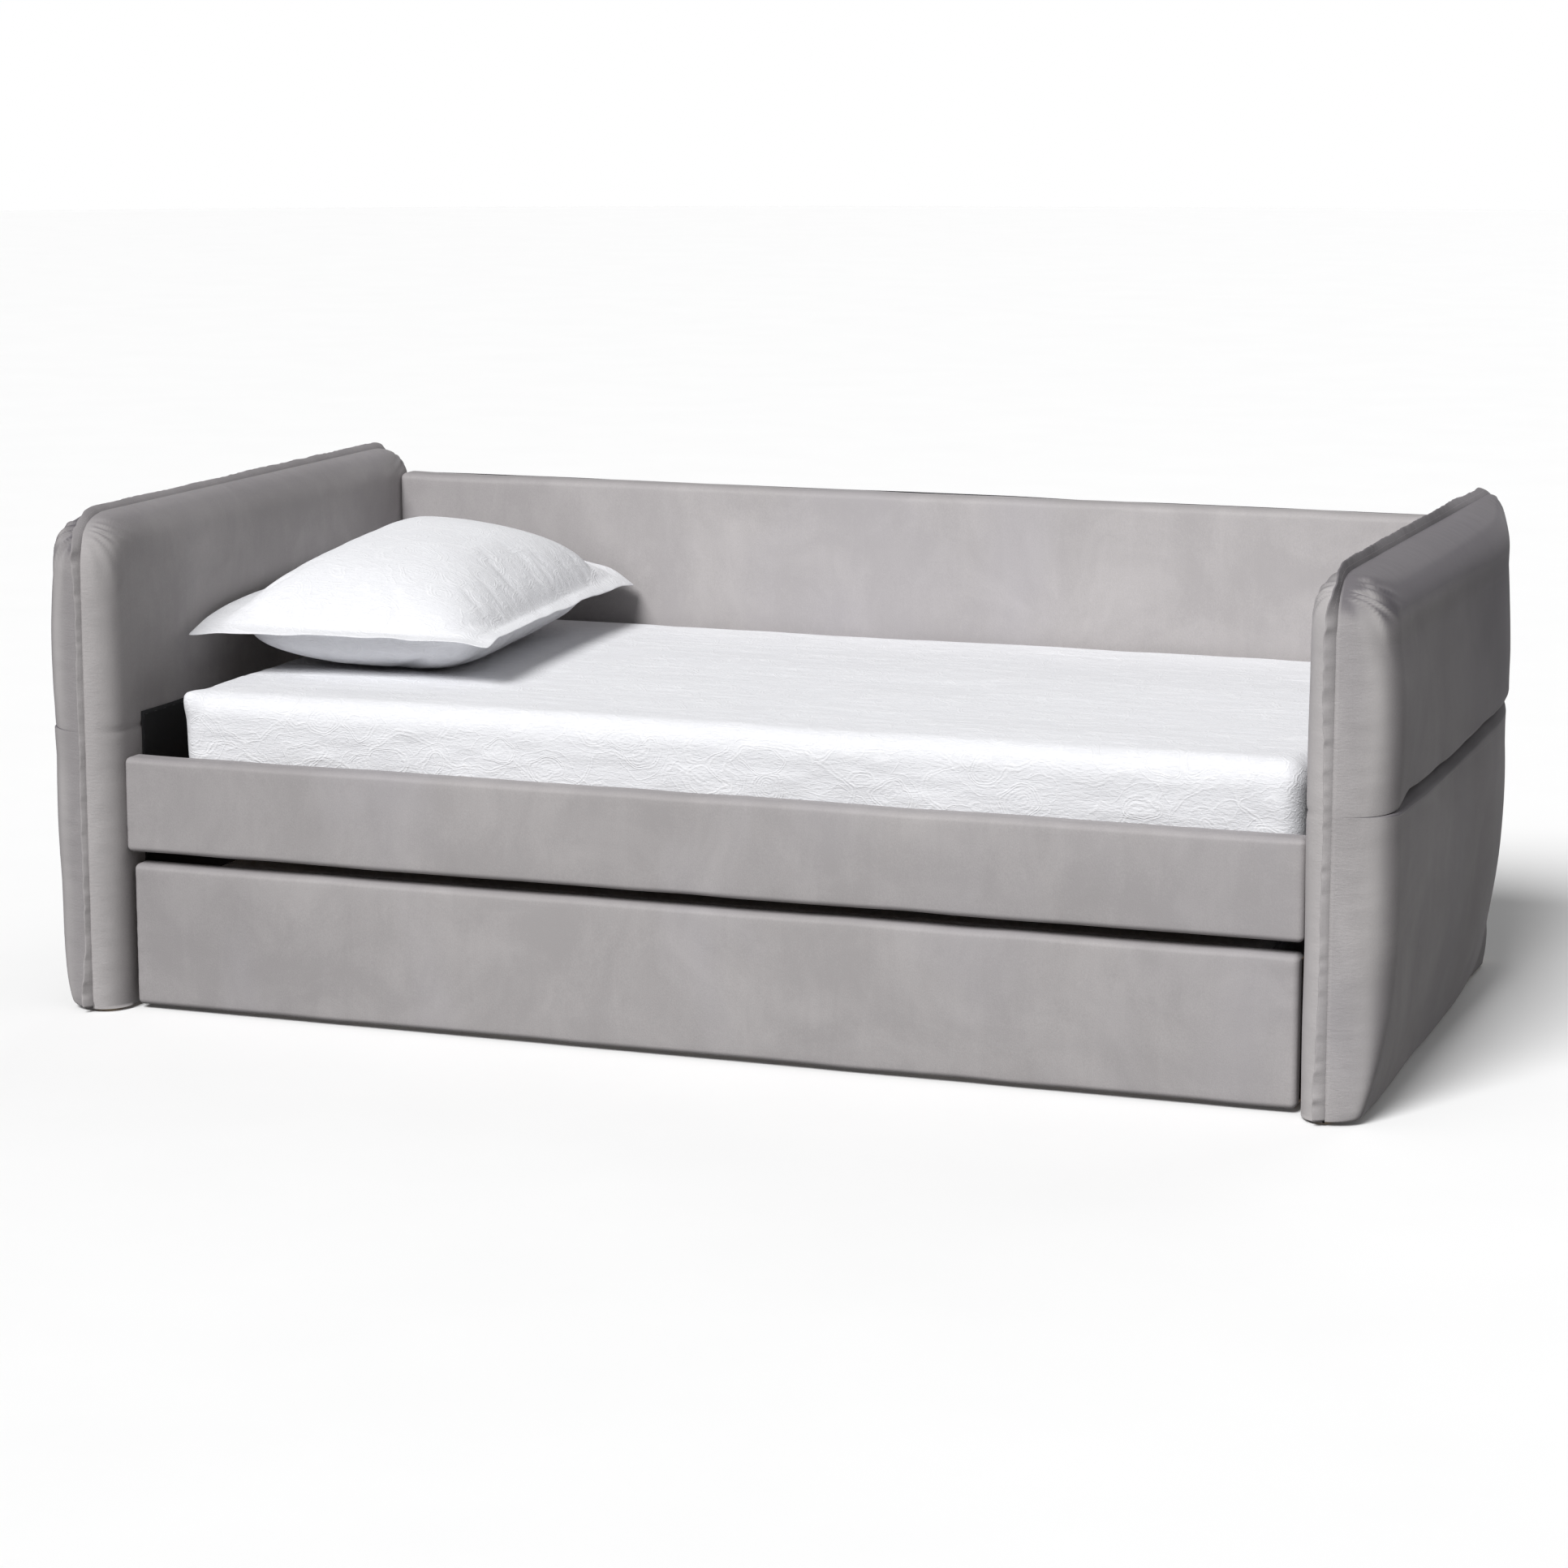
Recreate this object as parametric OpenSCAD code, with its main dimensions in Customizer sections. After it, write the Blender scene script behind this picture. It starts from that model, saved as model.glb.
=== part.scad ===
// Upholstered daybed with a pull-out trundle on fixed casters.
// Millimetres. X runs along the bed, -Y is the front, +Z is up.
// The origin is on the floor, in the middle of the bed's plan.

/* [Bed] */
// Clear length between the two upholstered sides
inner_l = 1970; // [1970:5:2050]
// Front-to-back depth of each side panel, without its seam flange
side_d = 1176; // [1176:4:1240]
// Height of each side panel, without its seam flange
side_h = 820; // [800:5:880]
// Radius of a side panel's top corners, seen from the side
side_r = 70; // [50:5:110]
// How far the seam flange stands proud of the side panel
flange_h = 18; // [10:1:24]
// Height of the crease between the two outer pads
crease_z = 466; // [440:2:500]

/* [Rails] */
// How far the front rail sits behind the front edge of the sides
rail_inset = 38; // [20:1:60]
// Thickness of the padded front rail
rail_t = 46; // [40:1:50]
// Lower edge of the front rail
rail_z = 265; // [262:1:270]
// Height of the front rail
rail_h = 157; // [150:1:165]
// Front face of the back panel, measured from the rail's front face
back_y = 1058; // [1050:1:1070]
// Thickness of the upholstered back panel
back_t = 55; // [48:1:60]
// Upper edge of the back panel
back_top = 776; // [740:2:800]

/* [Mattress] */
// Length of the bed's mattress
mattress_l = 1880; // [1850:5:1895]
// Thickness of the bed's mattress
mattress_h = 190; // [150:5:200]
// Length of the trundle's mattress
trundle_mattress_l = 1780; // [1700:10:1790]
// Thickness of the trundle's mattress
trundle_mattress_h = 138; // [100:2:140]
// Number of slats in the bed, and in the trundle
slat_count = 12; // [12]

/* [Trundle] */
// Gap between the trundle front and each side panel
trundle_gap = 8; // [6:1:12]
// How far the trundle front sits behind the rail's front face
trundle_inset = 9; // [6:1:12]
// Clearance between the trundle front and the floor
trundle_z = 7; // [5:1:12]
// Height of the trundle front
trundle_h = 237; // [230:1:240]
// Radius of a caster wheel
wheel_r = 25; // [20:1:26]

/* [Hidden] */
$fn = 48;
hull_fn = 32;
slat_names = [for (i = [1:slat_count]) str("bed_slat_", i < 10 ? "0" : "", i)];

// Colours
velvet = [0.68, 0.66, 0.66];
linen_white = [0.93, 0.94, 0.96];
lining_black = [0.07, 0.07, 0.07];
board_wood = [0.72, 0.58, 0.42];
slat_wood = [0.82, 0.70, 0.52];
zinc = [0.66, 0.67, 0.70];
plastic_black = [0.12, 0.12, 0.13];
tape_grey = [0.35, 0.35, 0.36];

// Side panel layers, measured outwards from the clear length's end
pad_t = 20;
core_t = 30;
core_inset = 15;
flange_t = 4;
lining_t = 2;
glide_h = 5;
glide_r = 14;
core_end = pad_t + core_t;
flange_start = core_end - flange_t;
top_z = side_h - side_r;
half_d = side_d / 2;
half_l = inner_l / 2;

// Outer pads: their depth outwards at the floor and at the fullest place
foot_out = 88;
belly_out = 140;
crown_out = 134;

// Planes of the rails and the back, front to back
rail_front = -half_d + rail_inset;
rail_back = rail_front + rail_t;
back_front = rail_front + back_y;
back_rear = back_front + back_t;
back_low = 100;
rail_board_t = 24;
cover_edge = 8;
edge_r = 8;

// Slat bed
cleat_w = 30;
cleat_h = 40;
cleat_z = 280;
slat_w = 70;
slat_t = 15;
slat_pitch = 160;
slat_end_gap = 4;
slat_top = cleat_z + cleat_h + slat_t;
tape_w = 25;
tape_t = 1;
tape_y = 250;
cleat_l = 2 * (half_l - 70);

// Steel brackets and bolts
plate_t = 3;
bracket_leg = 60;
bracket_h = 100;
front_bracket_z = 300;
back_bracket_z = 225;
bolt_r = 4;
bolt_hole_r = 4.1;
bolt_head_r = 7;
bolt_head_h = 4;
bolt_offset = 38;
bolt_rise = [25, 75];
rail_bolt_l = 22;
back_bolt_l = 42;
side_bolt_l = 45;
lined_x = half_l - lining_t;
beam_w = 40;
beam_plate_w = 84;
beam_bolt_y = 32;

// Trundle tray
tray_half = half_l - 30;
tray_t = 18;
tray_z = 62;
tray_h = 78;
front_t = 44;
front_board_t = 22;
front_y = rail_front + trundle_inset;
tray_front = front_y + front_t;
tray_back = back_front - 38;
tray_inner = tray_half - tray_t;
block_w = 60;
block_h = 26;
tray_slat_t = 12;
tray_slat_pitch = 150;
tray_slat_top = tray_z + block_h + tray_slat_t;

// Casters
caster_x = tray_inner - block_w / 2;
caster_front_y = tray_front + block_w / 2;
caster_back_y = tray_back - tray_t - block_w / 2;
axle_r = 4;
axle_clear = 0.05;
wheel_w = 20;
hub_r = 10;
hub_w = 25;
fork_gap = 26;
fork_t = 2.5;
fork_w = 28;
fork_low = 12;

// A side's pieces are drawn outwards along +X; the left side is mirrored
module place_side(s) {
    translate([s * half_l, 0, 0])
        mirror([s < 0 ? 1 : 0, 0, 0]) children();
}

// Stands a front-to-back outline up and gives it a thickness along X
module upright(x, t) {
    translate([x, 0, 0]) rotate([90, 0, 90]) linear_extrude(t) children();
}

// Outline of a side panel, grown or shrunk by a margin on its front, top and rear
module side_outline(margin) {
    half = half_d + margin;
    r = side_r + margin;
    translate([-half, glide_h]) square([2 * half, top_z - glide_h]);
    translate([-half + r, top_z - 1]) square([2 * (half - r), r + 1]);
    for (s = [-1, 1]) translate([s * (half - r), top_z]) circle(r);
}

// One thin upright slice of an outer pad, with its own corner radii
module pad_slice(x, half, low, high, r_low, r_high) {
    upright(x, 1) hull() {
        for (s = [-1, 1]) {
            translate([s * (half - r_low), low + r_low]) circle(r_low, $fn = hull_fn);
            translate([s * (half - r_high), high - r_high]) circle(r_high, $fn = hull_fn);
        }
    }
}

// Positions of the bolts in a side panel, from the inner face outwards
module side_bolt_places() {
    for (z = bolt_rise) {
        translate([0, rail_back + bolt_offset, front_bracket_z + z]) children();
        translate([0, back_front - bolt_offset, back_bracket_z + z]) children();
    }
    for (s = [-1, 1])
        translate([0, s * beam_bolt_y, cleat_z + cleat_h / 2]) children();
}

module side_bolt_holes() {
    side_bolt_places() translate([-5, 0, 0]) rotate([0, 90, 0])
        cylinder(r = bolt_hole_r, h = side_bolt_l + 2);
}

module side_core(s) {
    color(board_wood) place_side(s) difference() {
        upright(pad_t, core_t) side_outline(-core_inset);
        side_bolt_holes();
    }
}

module inner_pad(s) {
    color(velvet) place_side(s) difference() {
        upright(0, flange_start) side_outline(0);
        upright(pad_t, core_t) side_outline(-core_inset);
        side_bolt_holes();
    }
}

module seam_flange(s) {
    color(velvet) place_side(s) upright(flange_start, flange_t) difference() {
        side_outline(flange_h);
        side_outline(-core_inset);
    }
}

module outer_upper_pad(s) {
    color(velvet) place_side(s) hull() {
        pad_slice(core_end, half_d, crease_z, side_h, 2, side_r);
        pad_slice(90, half_d - 16, crease_z, side_h - 14, 8, side_r);
        pad_slice(118, half_d - 46, crease_z, side_h - 56, 20, side_r);
        pad_slice(crown_out - 1, half_d - 110, crease_z + 6, side_h - 180, 30, side_r);
    }
}

module outer_lower_pad(s) {
    color(velvet) place_side(s) hull() {
        pad_slice(core_end, half_d, glide_h, crease_z, 4, 2);
        pad_slice(foot_out - 1, half_d - 16, glide_h, crease_z, 12, 8);
        pad_slice(122, half_d - 50, 150, crease_z - 2, 70, 20);
        pad_slice(belly_out - 1, half_d - 118, 290, crease_z - 14, 60, 40);
    }
}

module dust_cover(s) {
    lining_front = rail_back + 16;
    color(lining_black) place_side(s) difference() {
        translate([-lining_t, lining_front, glide_h + 10])
            cube([lining_t, back_front - lining_front - 3, 475]);
        side_bolt_holes();
    }
}

module glides(s) {
    color(plastic_black) place_side(s) for (y = [-480, 0, 480])
        translate([pad_t + core_t / 2, y, 0]) cylinder(r = glide_r, h = glide_h);
}

// Upholstered board cover: rounded front edges, open at the back for the board
module board_cover(half, front, t, low, h, board_t) {
    upright(-half, 2 * half) difference() {
        union() {
            translate([front + edge_r, low]) square([t - edge_r, h]);
            translate([front, low + edge_r]) square([t, h - 2 * edge_r]);
            for (z = [low + edge_r, low + h - edge_r])
                translate([front + edge_r, z]) circle(edge_r);
        }
        translate([front + t - board_t, low + cover_edge])
            square([board_t + 1, h - 2 * cover_edge]);
    }
}

// The board inside such a cover
module board(half, rear, t, low, h) {
    translate([-half, rear - t, low + cover_edge])
        cube([2 * half, t, h - 2 * cover_edge]);
}

// Bolts that go straight forwards or backwards, at both ends of the bed
module end_bolt_places(y, z) {
    for (s = [-1, 1], rise = bolt_rise)
        translate([s * (lined_x - bolt_offset), y, z + rise]) children();
}

module front_rail_board() {
    color(board_wood) difference() {
        board(half_l, rail_back, rail_board_t, rail_z, rail_h);
        end_bolt_places(rail_back + 1, front_bracket_z) rotate([90, 0, 0])
            cylinder(r = bolt_hole_r, h = rail_bolt_l);
    }
}

module front_rail_cover() {
    color(velvet) board_cover(half_l, rail_front, rail_t, rail_z, rail_h, rail_board_t);
}

module back_bolt_holes() {
    end_bolt_places(back_front - 1, back_bracket_z) rotate([-90, 0, 0])
        cylinder(r = bolt_hole_r, h = back_bolt_l + 2);
}

module back_panel_board() {
    color(board_wood) difference() {
        board(half_l, back_rear - lining_t, back_t - pad_t - lining_t,
              back_low, back_top - back_low);
        back_bolt_holes();
    }
}

module back_panel_cover() {
    color(velvet) difference() {
        board_cover(half_l, back_front, back_t - lining_t, back_low,
                    back_top - back_low, back_t - pad_t - lining_t);
        back_bolt_holes();
    }
}

module back_lining() {
    color(velvet) translate([-half_l, back_rear - lining_t, back_low])
        cube([inner_l, lining_t, back_top - back_low]);
}

module cleat(half, y, w, z, h) {
    color(board_wood) translate([-half, y, z]) cube([2 * half, w, h]);
}

module centre_beam() {
    cleat(lined_x - plate_t, -beam_w / 2, beam_w, cleat_z, cleat_h);
}

module beam_brackets() {
    shelf_l = 45;
    color(zinc) for (s = [0, 1]) mirror([s, 0, 0]) {
        difference() {
            translate([lined_x - plate_t, -beam_plate_w / 2, cleat_z - plate_t])
                cube([plate_t, beam_plate_w, cleat_h + plate_t]);
            for (y = [-beam_bolt_y, beam_bolt_y])
                translate([lined_x - plate_t - 1, y, cleat_z + cleat_h / 2])
                    rotate([0, 90, 0]) cylinder(r = bolt_hole_r, h = plate_t + 2);
        }
        translate([lined_x - shelf_l, -beam_w / 2, cleat_z - plate_t])
            cube([shelf_l - plate_t, beam_w, plate_t]);
    }
}

// Corner angle: one leg on the rail or back panel, the other on the side
module corner_bracket(s, front) {
    y0 = front ? rail_back : back_front;
    low = front ? front_bracket_z : back_bracket_z;
    color(zinc) mirror([s < 0 ? 1 : 0, 0, 0]) translate([lined_x, y0, low])
        mirror([0, front ? 0 : 1, 0]) difference() {
            union() {
                translate([-bracket_leg, 0, 0]) cube([bracket_leg, plate_t, bracket_h]);
                translate([-plate_t, 0, 0]) cube([plate_t, bracket_leg, bracket_h]);
            }
            for (z = bolt_rise) {
                translate([-bolt_offset, plate_t + 1, z]) rotate([90, 0, 0])
                    cylinder(r = bolt_hole_r, h = plate_t + 2);
                translate([-plate_t - 1, bolt_offset, z]) rotate([0, 90, 0])
                    cylinder(r = bolt_hole_r, h = plate_t + 2);
            }
        }
}

// Button-head bolt along +Z, its head's underside at the origin
module bolt(l) {
    cylinder(r = bolt_r, h = l);
    translate([0, 0, -bolt_head_h]) difference() {
        cylinder(r = bolt_head_r, h = bolt_head_h);
        translate([0, 0, -1]) cylinder(r = 2.5, h = 3, $fn = 6);
    }
}

module frame_bolts() {
    color(zinc) {
        end_bolt_places(rail_back + plate_t, front_bracket_z)
            rotate([90, 0, 0]) bolt(rail_bolt_l);
        end_bolt_places(back_front - plate_t, back_bracket_z)
            rotate([-90, 0, 0]) bolt(back_bolt_l);
        for (s = [-1, 1]) place_side(s) side_bolt_places()
            translate([-lining_t - plate_t, 0, 0]) rotate([0, 90, 0]) bolt(side_bolt_l);
    }
}

module bed_slat(i) {
    x = (i - (slat_count - 1) / 2) * slat_pitch;
    color(slat_wood) translate([x - slat_w / 2, rail_back + slat_end_gap, cleat_z + cleat_h])
        cube([slat_w, back_front - rail_back - 2 * slat_end_gap, slat_t]);
}

module slat_tapes() {
    color(tape_grey) for (s = [-1, 1])
        translate([-cleat_l / 2, s * tape_y - tape_w / 2, slat_top])
            cube([cleat_l, tape_w, tape_t]);
}

// Mattress: a box with rounded corners and eased top and bottom edges
module soft_box(size, r) {
    ease = r / 3;
    hull() for (x = [r, size[0] - r], y = [r, size[1] - r])
        translate([x, y, 0]) {
            translate([0, 0, ease]) cylinder(r = r, h = size[2] - 2 * ease, $fn = hull_fn);
            cylinder(r = r - ease, h = size[2], $fn = hull_fn);
        }
}

module mattress() {
    left_gap = 68;
    front_gap = 67;
    rear_gap = 3;
    color(linen_white)
        translate([-half_l + left_gap, rail_front + front_gap, slat_top + tape_t])
            soft_box([mattress_l, back_y - front_gap - rear_gap, mattress_h], 24);
}

// Pillow: full in the middle, drawn in to a flat flange with four ears
module pillow() {
    seam_z = slat_top + mattress_h + 74;
    bed_z = slat_top + tape_t + mattress_h + 1;
    color(linen_white) translate([-half_l + 270, 70, 0]) rotate(2.5) hull() {
        translate([0, 0, bed_z]) scale([1, 1.5, 1]) cylinder(r = 130, h = 1, $fn = hull_fn);
        translate([0, 0, seam_z - 30]) scale([1, 1.42, 1])
            cylinder(r = 225, h = 1, $fn = hull_fn);
        for (x = [-1, 1], y = [-1, 1]) translate([x * 238, y * 366, seam_z])
            cylinder(r = 9, h = 4, $fn = hull_fn);
        translate([0, 0, seam_z + 78]) scale([1, 1.5, 1])
            cylinder(r = 190, h = 1, $fn = hull_fn);
        translate([0, 0, seam_z + 118]) scale([1, 1.5, 1])
            cylinder(r = 110, h = 1, $fn = hull_fn);
    }
}

module trundle_front_board() {
    color(board_wood) board(half_l - trundle_gap, tray_front, front_board_t,
                            trundle_z, trundle_h);
}

module trundle_front_cover() {
    color(velvet) board_cover(half_l - trundle_gap, front_y, front_t, trundle_z,
                              trundle_h, front_board_t);
}

module trundle_side_rail(s) {
    color(board_wood) mirror([s < 0 ? 1 : 0, 0, 0])
        translate([tray_inner, tray_front, tray_z])
            cube([tray_t, tray_back - tray_front, tray_h]);
}

module trundle_back_rail() {
    cleat(tray_inner, tray_back - tray_t, tray_t, tray_z, tray_h);
}

module trundle_cleat(y) {
    cleat(tray_inner - block_w, y, block_h, tray_z, block_h);
}

module trundle_centre_beam() {
    middle = (tray_front + tray_back - tray_t) / 2;
    cleat(tray_inner, middle - beam_w / 2, beam_w, tray_z, block_h);
}

module trundle_corner_blocks() {
    color(board_wood) for (x = [-1, 1], y = [caster_front_y, caster_back_y])
        translate([x * caster_x - block_w / 2, y - block_w / 2, tray_z])
            cube([block_w, block_w, block_h]);
}

module trundle_slats() {
    color(slat_wood) for (i = [0:slat_count - 1])
        translate([(i - (slat_count - 1) / 2) * tray_slat_pitch - slat_w / 2,
                   tray_front + slat_end_gap, tray_z + block_h])
            cube([slat_w, tray_back - tray_t - tray_front - 2 * slat_end_gap, tray_slat_t]);
}

module trundle_mattress() {
    left_gap = 126;
    end_gap = 12;
    color(linen_white)
        translate([-half_l + left_gap, tray_front + end_gap, tray_slat_top])
            soft_box([trundle_mattress_l, tray_back - tray_t - tray_front - 2 * end_gap,
                      trundle_mattress_h], 22);
}

module caster_places() {
    for (x = [-1, 1], y = [caster_front_y, caster_back_y])
        translate([x * caster_x, y, wheel_r]) children();
}

// Fork: a top plate under the block, and two cheeks that hold the axle
module caster_fork() {
    rise = tray_z - wheel_r;
    plate_w = 54;
    translate([-plate_w / 2, -plate_w / 2, rise - plate_t])
        cube([plate_w, plate_w, plate_t]);
    for (s = [0, 1]) mirror([s, 0, 0]) difference() {
        translate([fork_gap / 2, -fork_w / 2, -fork_low])
            cube([fork_t, fork_w, rise + fork_low - plate_t]);
        translate([fork_gap / 2 - 1, 0, 0]) rotate([0, 90, 0])
            cylinder(r = axle_r + axle_clear, h = fork_t + 2);
    }
}

module caster_forks() {
    color(zinc) caster_places() caster_fork();
}

// Axle: a plain pin with a riveted head outside each cheek
module caster_axles() {
    head_h = 1.5;
    pin_l = fork_gap + 2 * fork_t;
    color(zinc) caster_places() rotate([0, 90, 0]) {
        cylinder(r = axle_r, h = pin_l, center = true);
        for (s = [-1, 1]) translate([0, 0, s * (pin_l + head_h) / 2])
            cylinder(r = axle_r + 2.5, h = head_h, center = true);
    }
}

module caster_wheel(s, y) {
    color(plastic_black) translate([s * caster_x, y, wheel_r]) rotate([0, 90, 0])
        difference() {
            union() {
                cylinder(r = wheel_r, h = wheel_w, center = true);
                cylinder(r = hub_r, h = hub_w, center = true);
            }
            cylinder(r = axle_r + axle_clear, h = hub_w + 2, center = true);
            for (side = [-1, 1]) translate([0, 0, side * wheel_w / 2])
                difference() {
                    cylinder(r = wheel_r - 5, h = 6, center = true);
                    cylinder(r = hub_r + 1, h = 8, center = true);
                }
        }
}

side_core(-1);  // left_core
inner_pad(-1);  // left_inner_pad
seam_flange(-1);  // left_seam_flange
outer_upper_pad(-1);  // left_outer_upper_pad
outer_lower_pad(-1);  // left_outer_lower_pad
dust_cover(-1);  // left_dust_cover
glides(-1);  // left_glides
side_core(1);  // right_core
inner_pad(1);  // right_inner_pad
seam_flange(1);  // right_seam_flange
outer_upper_pad(1);  // right_outer_upper_pad
outer_lower_pad(1);  // right_outer_lower_pad
dust_cover(1);  // right_dust_cover
glides(1);  // right_glides
front_rail_board();
front_rail_cover();
back_panel_board();
back_panel_cover();
back_lining();
cleat(cleat_l / 2, rail_back, cleat_w, cleat_z, cleat_h);  // front_cleat
cleat(cleat_l / 2, back_front - cleat_w, cleat_w, cleat_z, cleat_h);  // back_cleat
centre_beam();
beam_brackets();
corner_bracket(-1, true);  // corner_bracket_fl
corner_bracket(1, true);  // corner_bracket_fr
corner_bracket(-1, false);  // corner_bracket_bl
corner_bracket(1, false);  // corner_bracket_br
frame_bolts();
for (i = [0:slat_count - 1])
    bed_slat(i);
slat_tapes();
mattress();
pillow();
trundle_front_board();
trundle_front_cover();
trundle_side_rail(-1);  // trundle_left_rail
trundle_side_rail(1);  // trundle_right_rail
trundle_back_rail();
trundle_cleat(tray_front);  // trundle_front_cleat
trundle_cleat(tray_back - tray_t - block_h);  // trundle_back_cleat
trundle_centre_beam();
trundle_corner_blocks();
trundle_slats();
trundle_mattress();
caster_forks();
caster_axles();
caster_wheel(-1, caster_front_y);  // caster_wheel_fl
caster_wheel(1, caster_front_y);  // caster_wheel_fr
caster_wheel(-1, caster_back_y);  // caster_wheel_bl
caster_wheel(1, caster_back_y);  // caster_wheel_br
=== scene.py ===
import math

import bmesh
import bpy
import numpy as np
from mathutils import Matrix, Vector


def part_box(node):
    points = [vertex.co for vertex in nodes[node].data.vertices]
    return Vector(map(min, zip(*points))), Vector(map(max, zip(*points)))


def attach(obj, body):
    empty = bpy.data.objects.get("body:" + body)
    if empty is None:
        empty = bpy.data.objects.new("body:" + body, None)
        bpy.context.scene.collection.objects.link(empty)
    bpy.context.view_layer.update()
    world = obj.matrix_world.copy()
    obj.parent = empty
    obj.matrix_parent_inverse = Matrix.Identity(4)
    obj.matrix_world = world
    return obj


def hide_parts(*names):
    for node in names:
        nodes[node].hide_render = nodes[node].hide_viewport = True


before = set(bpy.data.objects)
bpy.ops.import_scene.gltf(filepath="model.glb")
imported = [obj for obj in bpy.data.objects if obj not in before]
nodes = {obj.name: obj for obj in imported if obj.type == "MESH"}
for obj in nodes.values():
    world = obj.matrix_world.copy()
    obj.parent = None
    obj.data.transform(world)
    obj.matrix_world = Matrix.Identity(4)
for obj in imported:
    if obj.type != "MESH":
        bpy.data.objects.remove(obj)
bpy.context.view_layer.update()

# ---------------------------------------------------------------------------
# Studio
# A pale round floor, one broad soft lamp that shines from the front and above,
# a weak one from behind, and a room that is lighter overhead than at the sides.
# The camera stands in front of the right-hand end, a little above the bed.
# ---------------------------------------------------------------------------
scene = bpy.context.scene
scene.view_settings.view_transform = "Standard"

camera_data = bpy.data.cameras.new("camera")
camera_data.sensor_width = 36
camera_data.lens = 98.19
camera_data.clip_end = 60
camera = bpy.data.objects.new("camera", camera_data)
camera.location = (2.4184, -6.6116, 1.6596)
look_down = math.radians(10.571)
look_aside = math.radians(20.389)
camera.rotation_euler = (math.pi / 2 - look_down, 0, look_aside)
scene.collection.objects.link(camera)
scene.camera = camera


def soft_sun(name, toward, strength, spread):
    """A distant lamp that shines along a direction, soft by its spread."""
    data = bpy.data.lights.new(name, "SUN")
    data.energy = strength
    data.angle = math.radians(spread)
    lamp = bpy.data.objects.new(name, data)
    lamp.rotation_euler = Vector(toward).to_track_quat("-Z", "Y").to_euler()
    scene.collection.objects.link(lamp)


soft_sun("key_lamp", (0.10, 0.75, -0.72), 3.75, 26)
soft_sun("rear_lamp", (-0.15, -1.0, -0.35), 0.7, 50)

room = bpy.data.worlds.new("room")
room.use_nodes = True
room_nodes = room.node_tree.nodes
room_links = room.node_tree.links
dim_light = room_nodes["Background"]
dim_light.inputs["Color"].default_value = (1, 1, 1, 1)
where = room_nodes.new("ShaderNodeTexCoord")
height = room_nodes.new("ShaderNodeSeparateXYZ")
glow = room_nodes.new("ShaderNodeMapRange")
glow.inputs["From Min"].default_value = 0.0
glow.inputs["From Max"].default_value = 1.0
glow.inputs["To Min"].default_value = 0.09
glow.inputs["To Max"].default_value = 0.26
steep = room_nodes.new("ShaderNodeMath")
steep.operation = "ABSOLUTE"
room_links.new(where.outputs["Generated"], height.inputs[0])
room_links.new(height.outputs["Z"], steep.inputs[0])
room_links.new(steep.outputs[0], glow.inputs["Value"])
room_links.new(glow.outputs[0], dim_light.inputs["Strength"])
backdrop = room_nodes.new("ShaderNodeBackground")
backdrop.inputs["Color"].default_value = (1, 1, 1, 1)
seen = room_nodes.new("ShaderNodeLightPath")
chosen = room_nodes.new("ShaderNodeMixShader")
room_links.new(seen.outputs["Is Camera Ray"], chosen.inputs[0])
room_links.new(dim_light.outputs[0], chosen.inputs[1])
room_links.new(backdrop.outputs[0], chosen.inputs[2])
room_links.new(chosen.outputs[0], room_nodes["World Output"].inputs[0])
scene.world = room


class Wire:
    """A shader socket that works in sums: each operator adds one Math node."""

    def __init__(self, finish, socket):
        self.finish = finish
        self.socket = socket

    def math(self, operation, *terms):
        return self.finish.node("ShaderNodeMath", {"operation": operation}, dict(enumerate(terms)))

    def __add__(self, other):
        return self.math("ADD", self, other)

    def __sub__(self, other):
        return self.math("SUBTRACT", self, other)

    def __rsub__(self, other):
        return self.math("SUBTRACT", other, self)

    def __mul__(self, other):
        return self.math("MULTIPLY", self, other)

    __radd__ = __add__
    __rmul__ = __mul__


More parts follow.
